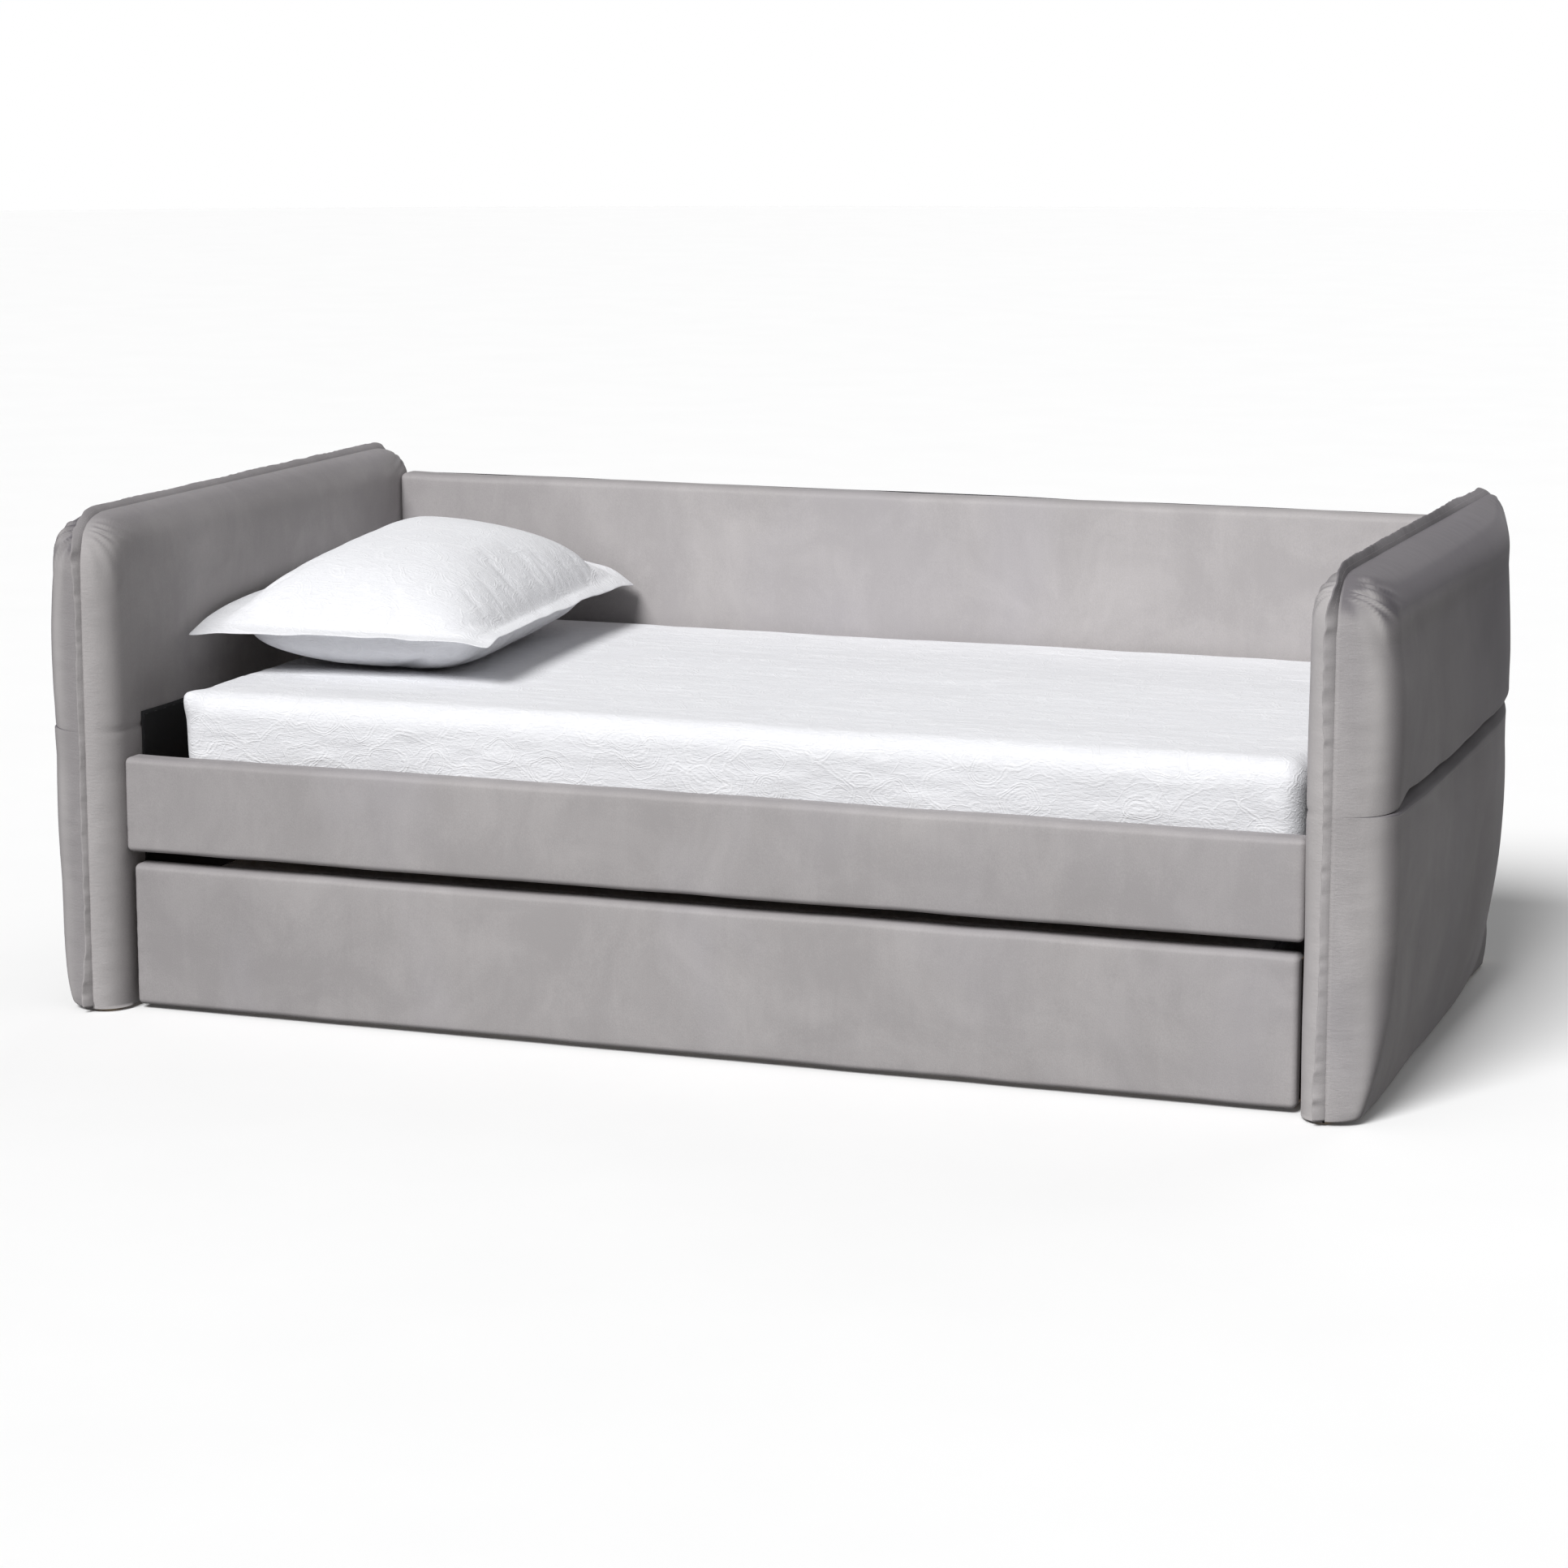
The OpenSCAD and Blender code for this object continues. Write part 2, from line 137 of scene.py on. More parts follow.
class Finish:
    """A material with its shader, and one method that adds any node to it."""

    def __init__(self, name):
        self.material = bpy.data.materials.new(name)
        self.material.use_nodes = True
        self.tree = self.material.node_tree
        self.shader = self.tree.nodes["Principled BSDF"]

    def feed(self, socket, value):
        if isinstance(value, Wire):
            self.tree.links.new(value.socket, socket)
        elif hasattr(value, "__len__") and socket.type == "RGBA":
            socket.default_value = (*value[:3], 1)
        else:
            socket.default_value = value

    def node(self, kind, settings=None, sockets=None, output=0):
        made = self.tree.nodes.new(kind)
        for name, value in (settings or {}).items():
            if name == "stops":
                while len(made.color_ramp.elements) < len(value):
                    made.color_ramp.elements.new(0.5)
                for element, (place, shade) in zip(made.color_ramp.elements, value):
                    element.position = place
                    element.color = (shade, shade, shade, 1)
            else:
                setattr(made, name, value)
        for name, value in (sockets or {}).items():
            self.feed(made.inputs[name], value)
        return Wire(self, made.outputs[output])

    def blend(self, amount, first, second, kind="MIX"):
        """A Mix node on colours: first at 0, second at 1."""
        settings = {"data_type": "RGBA", "blend_type": kind}
        return self.node("ShaderNodeMix", settings, {0: amount, 6: first, 7: second}, output=2)

    def place(self, scale=(1, 1, 1), turn=(0, 0, 0)):
        """The point on the piece in metres, scaled and turned."""
        point = self.node("ShaderNodeTexCoord", output="Object")
        return self.node("ShaderNodeMapping", {}, {"Vector": point, "Scale": scale, "Rotation": turn})

    def noise(self, point, scale, detail=3.0, roughness=0.5, warp=0.0):
        sockets = {"Vector": point, "Scale": scale, "Detail": detail}
        sockets["Roughness"] = roughness
        sockets["Distortion"] = warp
        return self.node("ShaderNodeTexNoise", {}, sockets, output="Fac")

    def surface(self, **sockets):
        """Feeds the shader: Base_Color=..., Roughness=... and so on."""
        for name, value in sockets.items():
            self.feed(self.shader.inputs[name.replace("_", " ")], value)
        return self.material

    def bump(self, height, depth, strength=1.0, normal=None):
        """Relief on the shader's normal: height 0 to 1 stands for depth in metres."""
        sockets = {"Height": height, "Distance": depth, "Strength": strength}
        if normal is not None:
            sockets["Normal"] = normal
        return self.node("ShaderNodeBump", {}, sockets, output="Normal")


FLOOR_RADIUS = 26
floor_mesh = bpy.data.meshes.new("floor")
floor_form = bmesh.new()
bmesh.ops.create_circle(floor_form, cap_ends=True, segments=96, radius=FLOOR_RADIUS)
floor_form.to_mesh(floor_mesh)
floor_form.free()
floor = bpy.data.objects.new("floor", floor_mesh)
scene.collection.objects.link(floor)
floor.visible_diffuse = False

paper = Finish("floor_paper")
paper_tone = paper.noise(paper.place(), 3.0)
paper.surface(Base_Color=paper.blend(paper_tone, (0.90, 0.90, 0.90), (0.93, 0.93, 0.93)), Roughness=0.9)
floor_mesh.materials.append(paper.material)

# ---------------------------------------------------------------------------
# Grey velvet
# The cover of both end panels, the rails, the back and the front of the lower
# bed: a short dense pile whose nap lies in soft streaks and cloudy patches.
# Its colour also carries painted shade and a painted highlight, marked on each piece.
# ---------------------------------------------------------------------------
velvet = Finish("grey_velvet")
cloud = velvet.noise(velvet.place(), 5.5, 4, 0.6, 0.6)
streak = velvet.noise(velvet.place((30, 30, 7)), 1.0, 4, 0.65, 0.8)
grain = velvet.noise(velvet.place((1, 1, 0.6)), 620, 2, 0.7)
pucker = velvet.node("ShaderNodeAttribute", {"attribute_name": "pucker"}, output="Fac")
nap = cloud * 0.54 + streak * 0.16 + grain * 0.32
shade = velvet.node("ShaderNodeValToRGB", {"stops": ((0.44, 0.0), (0.66, 1.0))}, {"Fac": nap})
warm_nap = velvet.blend(shade, (0.338, 0.320, 0.322), (0.425, 0.404, 0.404))
mauve = velvet.noise(velvet.place((1, 1, 0.5)), 3.1, 3, 0.5, 0.4)
mauve_part = velvet.node("ShaderNodeValToRGB", {"stops": ((0.50, 0.0), (0.72, 1.0))}, {"Fac": mauve})
pile = velvet.blend(mauve_part * 0.35, warm_nap, (0.385, 0.368, 0.395))
rub = velvet.noise(velvet.place((1, 1, 1.7)), 17, 5, 0.72, 1.2)
rubbed = velvet.node("ShaderNodeValToRGB", {"stops": ((0.60, 0.0), (0.76, 1.0))}, {"Fac": rub})
pile = velvet.blend(rubbed * 0.28, pile, (0.300, 0.284, 0.284))
# Painted shade: the mark read here darkens the pile toward charcoal where a piece is meant to look unlit.
lie = velvet.node("ShaderNodeAttribute", {"attribute_name": "lie"}, output="Fac")
pile = velvet.blend(lie, pile, (0.100, 0.092, 0.104))
# Painted highlight: the stretch mark read here lightens the pile toward pale grey where a piece is meant to
# look lit.
stretch = velvet.node("ShaderNodeAttribute", {"attribute_name": "stretch"}, output="Fac")
pile = velvet.blend(stretch, pile, (0.580, 0.556, 0.552))
crush = velvet.noise(velvet.place((1, 1, 3.2)), 70, 3, 0.55, 0.8)
relief = velvet.bump(grain, 0.0005, 0.5)
relief = velvet.bump(crush * pucker, 0.0011, 0.6, relief)
velvet.shader.inputs["Sheen Weight"].default_value = 0.09
velvet.shader.inputs["Sheen Roughness"].default_value = 0.4
velvet.shader.inputs["Sheen Tint"].default_value = (0.92, 0.88, 0.91, 1)
velvet.surface(Base_Color=pile, Roughness=0.86 - shade * 0.06, Normal=relief)

# ---------------------------------------------------------------------------
# End panels
# Each end is a board core between two stuffed velvet skins. The outer skin is
# two bellies that roll into a horizontal crease, and the inner one is flatter.
# ---------------------------------------------------------------------------
BODY = "bed_frame"
inner_low, inner_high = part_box("right_inner_pad")
upper_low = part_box("right_outer_upper_pad")[0]
lower_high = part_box("right_outer_lower_pad")[1]
panel_half = inner_high.y
panel_foot = inner_low.z
panel_top = inner_high.z
inner_plane = inner_low.x
# The seam between the skins stands this far outside the core's inner plane.
seam_out = 0.048
# Rows of mesh over a rounded edge, and the spacing of the mesh elsewhere.
roll_count = 26
cover_cell = 0.006
crease_z = (upper_low.z + lower_high.z) / 2


def clouds(across, up, seed):
    """Smooth seeded noise from -1 to 1 over two arrays, one lump per unit."""
    lattice = np.random.default_rng(seed).uniform(-1, 1, (128, 128))
    column = np.floor(across).astype(int)
    row = np.floor(up).astype(int)
    across_part = across - column
    up_part = up - row
    across_part = across_part * across_part * (3 - 2 * across_part)
    up_part = up_part * up_part * (3 - 2 * up_part)
    low = lattice[row % 128, column % 128] * (1 - across_part)
    low = low + lattice[row % 128, (column + 1) % 128] * across_part
    high = lattice[(row + 1) % 128, column % 128] * (1 - across_part)
    high = high + lattice[(row + 1) % 128, (column + 1) % 128] * across_part
    return low * (1 - up_part) + high * up_part


def smooth_step(value, start, end):
    """From 0 to 1 between start and end, level at both."""
    part = np.clip((value - start) / (end - start), 0, 1)
    return part * part * (3 - 2 * part)


def roll_steps(count):
    """Sines of even angle steps over a quarter turn, without the first."""
    return np.sin(np.linspace(0, math.pi / 2, count + 1))[1:]


def grid_normals(points):
    """Unit normals of a grid of points, rows by columns."""
    down = np.gradient(points, axis=0)
    along = np.gradient(points, axis=1)
    across = np.cross(along, down)
    length = np.linalg.norm(across, axis=2, keepdims=True)
    return across / np.maximum(length, 1e-9)


def link_mesh(name, points, faces, finish):
    """A mesh object from points and faces, normals outwards, in one finish."""
    mesh = bpy.data.meshes.new(name)
    mesh.from_pydata([tuple(p) for p in points], [], faces)
    form = bmesh.new()
    form.from_mesh(mesh)
    bmesh.ops.remove_doubles(form, verts=form.verts, dist=1e-6)
    bmesh.ops.recalc_face_normals(form, faces=form.faces)
    form.to_mesh(mesh)
    form.free()
    mesh.polygons.foreach_set("use_smooth", [True] * len(mesh.polygons))
    mesh.materials.append(finish.material)
    made = bpy.data.objects.new(name, mesh)
    scene.collection.objects.link(made)
    return made


def grid_faces(rows, columns, start=0):
    """Four-sided faces of a grid of points, numbered row by row."""
    corner = start + np.arange(rows - 1)[:, None] * columns + np.arange(columns - 1)[None, :]
    quads = np.stack((corner, corner + 1, corner + columns + 1, corner + columns), axis=2)
    return quads.reshape(-1, 4).tolist()


def grid_rim(rows, columns):
    """Numbers of the points round the edge of a grid, in order."""
    index = np.arange(rows * columns).reshape(rows, columns)
    rim = (*index[0, :], *index[1:, -1], *index[-1, -2::-1], *index[-2:0:-1, 0])
    return [int(i) for i in rim]


def double_grid_faces(rows, columns):
    """Faces of two like grids, one behind the other, joined round their rims."""
    other = rows * columns
    faces = grid_faces(rows, columns) + [face[::-1] for face in grid_faces(rows, columns, other)]
    rim = grid_rim(rows, columns)
    for here, after in zip(rim, rim[1:] + rim[:1]):
        faces.append([here, after, after + other, here + other])
    return faces


def backed_grid(name, points, finish):
    """A grid skin closed over its edge by one flat back."""
    rows, columns = points.shape[:2]
    faces = grid_faces(rows, columns)
    faces.append(grid_rim(rows, columns))
    return link_mesh(name, points.reshape(-1, 3), faces, finish)


def mesh_points(mesh):
    """The points of a mesh, one row each."""
    place = np.zeros(len(mesh.vertices) * 3)
    mesh.vertices.foreach_get("co", place)
    return place.reshape(-1, 3)


def mark(piece, name, values):
    """Stores one number for each point of a piece."""
    attribute = piece.data.attributes.new(name, "FLOAT", "POINT")
    attribute.data.foreach_set("value", np.asarray(values, np.float32))


def mark_pucker_and_painted_light(piece, pucker, shadow, stretch):
    """Stores where a cover is crushed, and where its colour gets painted shade and a painted highlight."""
    mesh = piece.data
    place = mesh_points(mesh)
    facing = np.zeros(len(mesh.vertices) * 3)
    mesh.vertices.foreach_get("normal", facing)
    facing = facing.reshape(-1, 3)
    mark(piece, "pucker", pucker(place))
    # The first mark below holds painted shade, the second a painted highlight.
    mark(piece, "lie", np.clip(shadow(place, facing), 0, 1))
    mark(piece, "stretch", np.clip(stretch(place, facing), 0, 1))


def edge_nearness(y, z):
    """How far inside the panel's rounded outline a point is, in metres."""
    corner = 0.07
    side = panel_half - np.abs(y)
    top = panel_top - z
    turn = corner - np.hypot(np.maximum(corner - side, 0), np.maximum(corner - top, 0))
    return np.where((side < corner) & (top < corner), turn, np.minimum(side, top))


def seam_wrinkles(y, z, seed):
    """Short gathers square to the seam, and folds that fan out of the corners."""
    side = panel_half - np.abs(y)
    top = panel_top - z
    toward_top = smooth_step(side - top, -0.05, 0.05)
    front = clouds(side / 0.05, z / 0.011, seed) + 0.6 * clouds(side / 0.03, z / 0.0065, seed + 1)
    above = clouds(y / 0.014, top / 0.055, seed + 2) + 0.5 * clouds(y / 0.008, top / 0.03, seed + 3)
    wave = above * toward_top + front * (1 - toward_top)
    depth = edge_nearness(y, z)
    fade = np.exp(-depth / 0.018) * smooth_step(depth, 0, 0.006)
    corner = np.exp(-(np.hypot(side - 0.02, top - 0.02) / 0.075) ** 2)
    turn = np.arctan2(top - 0.002, side - 0.002)
    fold = np.sin(turn * 22 + 2.8 * clouds(turn * 4, depth / 0.05, seed + 4))
    fan = np.exp(-depth / 0.030) * smooth_step(depth, 0.0, 0.010)
    return 0.0007 * wave * fade * (1 - 0.7 * corner) + 0.0044 * fold * fan * corner


# Breadth of the zone next to an end panel's outline in which its skins roll.
EDGE_ZONE = 0.10


def panel_columns(cell):
    """Stations from front to rear: y of the flat part, and sine of the roll."""
    flat_half = panel_half - EDGE_ZONE
    flat = np.linspace(-flat_half, flat_half, int(2 * flat_half / cell))
    roll = roll_steps(roll_count)
    y = np.concatenate((np.full(roll_count, -flat_half), flat, np.full(roll_count, flat_half)))
    sine = np.concatenate((-roll[::-1], np.zeros(len(flat)), roll))
    return y, sine


def round_corner(across, up):
    """Pulls a square corner of two roll sines into a round outline."""
    power = 3.0
    reach = np.maximum(np.abs(across), up)
    size = (np.abs(across) ** power + up**power) ** (1 / power)
    pull = np.where(size > 1e-9, reach / np.maximum(size, 1e-9), 1)
    return across * pull, up * pull, reach


def edge_drop(reach, width):
    """Share of the full thickness left near the seam, for a rounding width."""
    short = np.clip(1 - (1 - reach) * EDGE_ZONE / width, 0, 1)
    return np.sqrt(1 - short**2)


def outer_belly(y, z, upper):
    """How far the outer skin stands out of the inner plane."""
    crown, belly = 0.1385, 0.1370
    if upper:
        fullest = 0.56
        above = np.maximum(z - fullest, 0)
        below = np.maximum(fullest - z, 0)
        return crown - 0.010 * (above / 0.16) ** 2 - 0.003 * (below / 0.08) ** 2
    foot = seam_out + 0.040 * np.clip((0.58 - y) / 1.04, 0, 1) ** 0.85
    return foot + (belly - foot) * np.sin(np.pi / 2 * np.clip(z, 0, 0.42) / 0.35) ** 0.6


def rear_taper(y, upper):
    """The stuffing thins out toward the rear of an end panel."""
    start = 0.17 if upper else 0.16
    return 1 - 0.88 * (np.maximum(y - start, 0) / 0.43) ** 2


def crease_line(y, seed):
    """Height of the crease: a seam at the front, lifted where the skins roll."""
    roll = 1 - smooth_step(np.abs(y), 0.44, 0.568)
    lift = 0.015 + 0.015 * smooth_step(y, -0.3, 0.2)
    return crease_z + lift * roll + 0.0015 * clouds(y / 0.11, y * 0, seed), roll


def seam_pucker(p):
    """The cover is crushed next to its seam."""
    return np.exp(-edge_nearness(p[:, 1], p[:, 2]) / 0.014)


def outer_shadow(p, n):
    """Painted shade on an outer skin: darker where it faces up, darker on its sideways faces, most high up
    and toward the rear, and darker all over on the left end.
    """
    top = 0.85 * smooth_step(n[:, 2], 0.0, 0.5)
    high = smooth_step(p[:, 2], 0.3, 0.7)
    rear = smooth_step(p[:, 1], -0.5, 0.5)
    side = smooth_step(np.abs(n[:, 0]), 0.60, 0.95)
    side = side * (0.22 + 0.18 * high + (0.20 + 0.40 * high) * rear)
    # Painted shade over the whole outside of the left end.
    side = side + 0.30 * (p[:, 0] < 0)
    return top + side


def outer_painted_highlight(p, n):
    """A painted highlight along the front edge, where the skin turns to the side."""
    turn = np.exp(-((np.abs(n[:, 0]) - 0.58) / 0.20) ** 2)
    broken = 0.75 + 0.25 * clouds(p[:, 2] / 0.09, p[:, 1] / 0.2, 77)
    return 0.50 * turn * smooth_step(-n[:, 1], 0.2, 0.6) * broken


def cut_heel(y, z):
    """The lower rear corner of an end panel is rounded off."""
    return y - 0.045 * smooth_step(y, 0.30, panel_half) * np.clip(1 - z / 0.055, 0, 1) ** 2


def outer_skin(name, sign, upper, seed):
    """One half of the outer face: a puffed velvet skin that rolls into the crease.

    A row is its height, how deep it is sunk, 1 where the skin is stuffed or 0 at
    its seam, and the sine of its roll over the top.
    """
    y_flat, sine = panel_columns(cover_cell)
    y_line = y_flat + EDGE_ZONE * sine
    line, roll = crease_line(y_line, 90)
    level = np.zeros_like(line)
    rows = []
    lip_turns = np.linspace(-math.pi / 2, 0, 8)
    arch_start = 0.717
    arch_rise = panel_top - arch_start
    if upper:
        depth, height = 0.002 + 0.020 * roll, 0.002 + 0.014 * roll
        rows.append((line, level, 0.0, 0.0))
        for turn in lip_turns:
            rows.append((line + height * (1 + math.sin(turn)), depth * (1 - math.cos(turn)), 1.0, 0.0))
        for part in np.linspace(0, 1, 40)[1:]:
            rows.append(((line + height) * (1 - part) + arch_start * part, level, 1.0, 0.0))
        for part in roll_steps(roll_count):
            rows.append((level + arch_start, level, 1.0, part))
    else:
        hem = 0.007
        depth, height = 0.002 + 0.034 * roll, 0.002 + 0.020 * roll
        start = panel_foot + 0.0012 * (1 + clouds(y_line / 0.045, level, seed + 9))
        rows.append((start, level, 0.0, 0.0))
        for turn in np.linspace(-math.pi / 2, 0, 6):
            tuck = level + 0.010 * (1 - math.cos(turn))
            rows.append((start + hem * (1 + math.sin(turn)), tuck, 1.0, 0.0))
        for part in np.linspace(0, 1, 76)[1:-1]:
            rows.append(((start + hem) * (1 - part) + (line - height) * part, level, 1.0, 0.0))
        for turn in lip_turns[::-1]:
            rows.append((line - height * (1 + math.sin(turn)), depth * (1 - math.cos(turn)), 1.0, 0.0))
        rows.append((line, level, 0.0, 0.0))
    z = np.array([row[0] for row in rows])
    sunk = np.array([row[1] for row in rows])
    live = np.array([row[2] for row in rows])[:, None]
    arch = np.array([row[3] for row in rows])[:, None] + 0 * z
    across, up, reach = round_corner(sine[None, :] + 0 * z, arch)
    y = y_flat[None, :] + EDGE_ZONE * across
    z = z + arch_rise * up
    y = cut_heel(y, z)
    width = 0.024 + 0.050 * smooth_step(z, 0.0, 0.22)
    stand = (outer_belly(y, np.minimum(z, arch_start), upper) - seam_out) * rear_taper(y, upper) - sunk
    out = seam_out + np.maximum(stand, 0.012) * edge_drop(reach, width) * live
    points = np.stack((sign * (inner_plane + out), y, z), axis=2)
    normals = grid_normals(points)
    normals = normals * np.sign(np.mean(normals[..., 0]) * sign)
    inside = smooth_step(EDGE_ZONE * (1 - reach), 0, 0.03)
    swell = 0.0018 * clouds(y / 0.17, z / 0.13, seed + 30) * inside
    near_crease = np.exp(-((z - line) / 0.05) ** 2)
    drag = 0.0014 * clouds(y / 0.07 + z / 0.09, z / 0.05, seed + 31) * near_crease * inside
    push = (seam_wrinkles(y, z, seed + 20) + swell + drag) * live * (reach < 0.999)
    made = backed_grid(name, points + normals * push[..., None], velvet)
    mark_pucker_and_painted_light(made, seam_pucker, outer_shadow, outer_painted_highlight)
    return made


def inner_skin(name, sign, seed):
    """The bed side of an end: a flatter skin that wraps the front, top and rear."""
    y_flat, sine = panel_columns(cover_cell)
    flat_top = panel_top - EDGE_ZONE
    flat_rows = 120
    flat = np.linspace(panel_foot, flat_top, flat_rows)
    height = np.concatenate((flat, np.full(roll_count, flat_top)))
    arch = np.concatenate((np.zeros(flat_rows), roll_steps(roll_count)))
    sines, arches = np.meshgrid(sine, arch)
    across, up, reach = round_corner(sines, arches)
    y = y_flat[None, :] + EDGE_ZONE * across
    z = height[:, None] + EDGE_ZONE * up
    y = cut_heel(y, z)
    drop = edge_drop(reach, 0.052)
    middle = smooth_step(z, 0.5, 0.62) * (1 - smooth_step(z, 0.7, 0.8))
    middle = middle * (1 - smooth_step(np.abs(y), 0.3, 0.5))
    seam_dip = 0.0026 * np.exp(-((z - crease_z) / 0.004) ** 2)
    out = seam_out * (1 - drop) - (0.005 * middle - seam_dip) * drop
    points = np.stack((sign * (inner_plane + out), y, z), axis=2)
    normals = grid_normals(points)
    normals = normals * np.sign(-np.mean(normals[..., 0]) * sign)
    swell = 0.0013 * clouds(y / 0.17, z / 0.14, seed + 50) * smooth_step(1 - reach, 0, 0.3)
    push = (seam_wrinkles(y, z, seed + 40) * 0.8 + swell) * (reach < 0.999)
    made = backed_grid(name, points + normals * push[..., None], velvet)
    # Painted shade darkens the faces that turn up, and a painted highlight lightens those that turn to the
    # front, more on the right end.
    painted_sheen_amount = 0.42 if sign > 0 else 0.22
    mark_pucker_and_painted_light(
        made,
        seam_pucker,
        lambda p, n: 0.50 * smooth_step(n[:, 2], 0.1, 0.8),
        lambda p, n: painted_sheen_amount * smooth_step(-n[:, 1], 0.15, 0.70),
    )
    return made


SIDES = (("left", -1), ("right", 1))
for side, sign in SIDES:
    lower = outer_skin(f"{side}_outer_lower_skin", sign, False, 100 + sign)
    upper = outer_skin(f"{side}_outer_upper_skin", sign, True, 200 + sign)
    inner = inner_skin(f"{side}_inner_skin", sign, 300 + sign)
    for skin, node in ((lower, "outer_lower_pad"), (upper, "outer_upper_pad"), (inner, "inner_pad")):
        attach(skin, BODY)
        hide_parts(f"{side}_{node}")

# ---------------------------------------------------------------------------
# Seam flange
# Where the two skins of an end meet, the cover's edges are sewn together into
# a soft upright fin that follows the front, the top and the rear edge.
# ---------------------------------------------------------------------------
FIN_HEIGHT = 0.021
FIN_HALF = 0.0013
# The two rows of stitches on each fin, one row on either side of it.
fin_stitches = {}


def outline_path(inset, corner, step):
    """Points and outward directions in (y, z) up the front, over and down."""
    half = panel_half - inset
    top = panel_top - inset
    foot = panel_foot + 0.004
    shoulder = top - corner
    upright = shoulder - foot
    crest = 2 * (half - corner)
    corner_steps = 30
    places = []
    for part in np.linspace(0, 1, int(upright / step)):
        places.append((-half, foot + upright * part, math.pi))
    for turn in np.linspace(math.pi, math.pi / 2, corner_steps)[1:]:
        y = -half + corner + corner * math.cos(turn)
        places.append((y, shoulder + corner * math.sin(turn), turn))
    for part in np.linspace(0, 1, int(crest / step))[1:]:
        places.append((-half + corner + crest * part, top, math.pi / 2))
    for turn in np.linspace(math.pi / 2, 0, corner_steps)[1:]:
        y = half - corner + corner * math.cos(turn)
        places.append((y, shoulder + corner * math.sin(turn), turn))
    for part in np.linspace(0, 1, int(upright / step))[1:]:
        places.append((half, shoulder - upright * part, 0.0))
    places = np.array(places)
    places[:, 0] = cut_heel(places[:, 0], places[:, 1])
    return places


def fin(name, sign, seed):
    """The flange as a thin closed strip that leans, sways and narrows a little."""
    path = outline_path(inset=0.004, corner=0.066, step=0.003)
    run = np.concatenate(([0], np.cumsum(np.hypot(np.diff(path[:, 0]), np.diff(path[:, 1])))))
    still = run * 0
    front_corner = 0.78
    rear_corner = run[-1] - front_corner
    front = 1 - smooth_step(run, 0.68, 0.85)
    crest = smooth_step(run, 0.85, 1.15) * (1 - smooth_step(run, 1.25, 1.6))
    corner = np.exp(-((run - front_corner) / 0.05) ** 2)
    corner = corner + np.exp(-((run - rear_corner) / 0.05) ** 2)
    if sign > 0:
        lean = -(0.22 + 0.70 * front + 0.15 * crest + 0.85 * smooth_step(run, 1.50, 1.85))
        narrow = 0.30 * smooth_step(run, 0.02, 0.22) * (1 - smooth_step(run, 0.45, 0.74))
    else:
        lean = 0.66 - 0.05 * front + 0.10 * crest
        narrow = 0.40 * smooth_step(run, 0.02, 0.12) * (1 - smooth_step(run, 0.65, 0.78))
        narrow = narrow + 0.22 * (1 - front)
    lean = lean + 0.04 * clouds(run / 0.024, still, seed)
    lean = lean + 0.30 * corner * clouds(run / 0.016, still, seed + 1)
    lean = lean + 0.07 * clouds(run / 0.13, still, seed + 7)
    lean = lean + 0.10 * front * clouds(run / 0.011, still, seed + 8)
    height = FIN_HEIGHT * (1 - narrow) * (1 + 0.05 * clouds(run / 0.05, still, seed + 2))
    height = height + 0.0006 * clouds(run / 0.010, still, seed + 3)
    height = height * (0.25 + 0.75 * smooth_step(run[-1] - run, 0.01, 0.08))
    sway = 0.0005 * clouds(run / 0.012, still, seed + 4)
    sway = sway + 0.0016 * corner * clouds(run / 0.009, still, seed + 5)
    section = [(part, -1.0) for part in np.linspace(0, 1, 9)]
    section += [(1.0 + 0.04 * math.cos(turn), math.sin(turn)) for turn in (-0.9, 0.0, 0.9)]
    section += [(part, 1.0) for part in np.linspace(1, 0, 9)]
    rows = []
    for up, across in section:
        bend = lean * min(up, 1.0) ** 0.35
        reach = height * up
        half = FIN_HALF * (1.5 - 0.5 * min(up, 1.0))
        along = reach * np.cos(bend) - across * half * np.sin(bend)
        aside = reach * np.sin(bend) + across * half * np.cos(bend) + sway * up
        x = sign * (inner_plane + seam_out + aside)
        y = path[:, 0] + along * np.cos(path[:, 2])
        z = path[:, 1] + along * np.sin(path[:, 2])
        rows.append(np.stack((x, y, z), axis=1))
    points = np.array(rows)
    count, length = points.shape[:2]
    faces = grid_faces(count, length)
    index = np.arange(count * length).reshape(count, length)
    for i in range(length - 1):
        ring = (index[-1, i], index[-1, i + 1], index[0, i + 1], index[0, i])
        faces.append([int(j) for j in ring])
    faces.append([int(i) for i in index[:, 0]])
    faces.append([int(i) for i in index[:, -1]])
    made = link_mesh(name, points.reshape(-1, 3), faces, velvet)
    # Painted shade darkens the fin a little everywhere and much more along the top, more on the right end;
    # a painted highlight lightens it below the top.
    painted_top_shade = 0.70 if sign > 0 else 0.36
    mark_pucker_and_painted_light(
        made,
        lambda p: np.full(len(p), 0.35),
        lambda p, n: 0.10 + painted_top_shade * smooth_step(p[:, 2], 0.74, 0.82),
        lambda p, n: 0.16 * (1 - smooth_step(p[:, 2], 0.70, 0.80)),
    )
    fin_stitches[name] = [points[4][4:-4], points[-5][4:-4]]
    return made


for side, sign in SIDES:
    flange = fin(f"{side}_seam_fin", sign, 400 + sign)
    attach(flange, BODY)
    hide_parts(f"{side}_seam_flange")

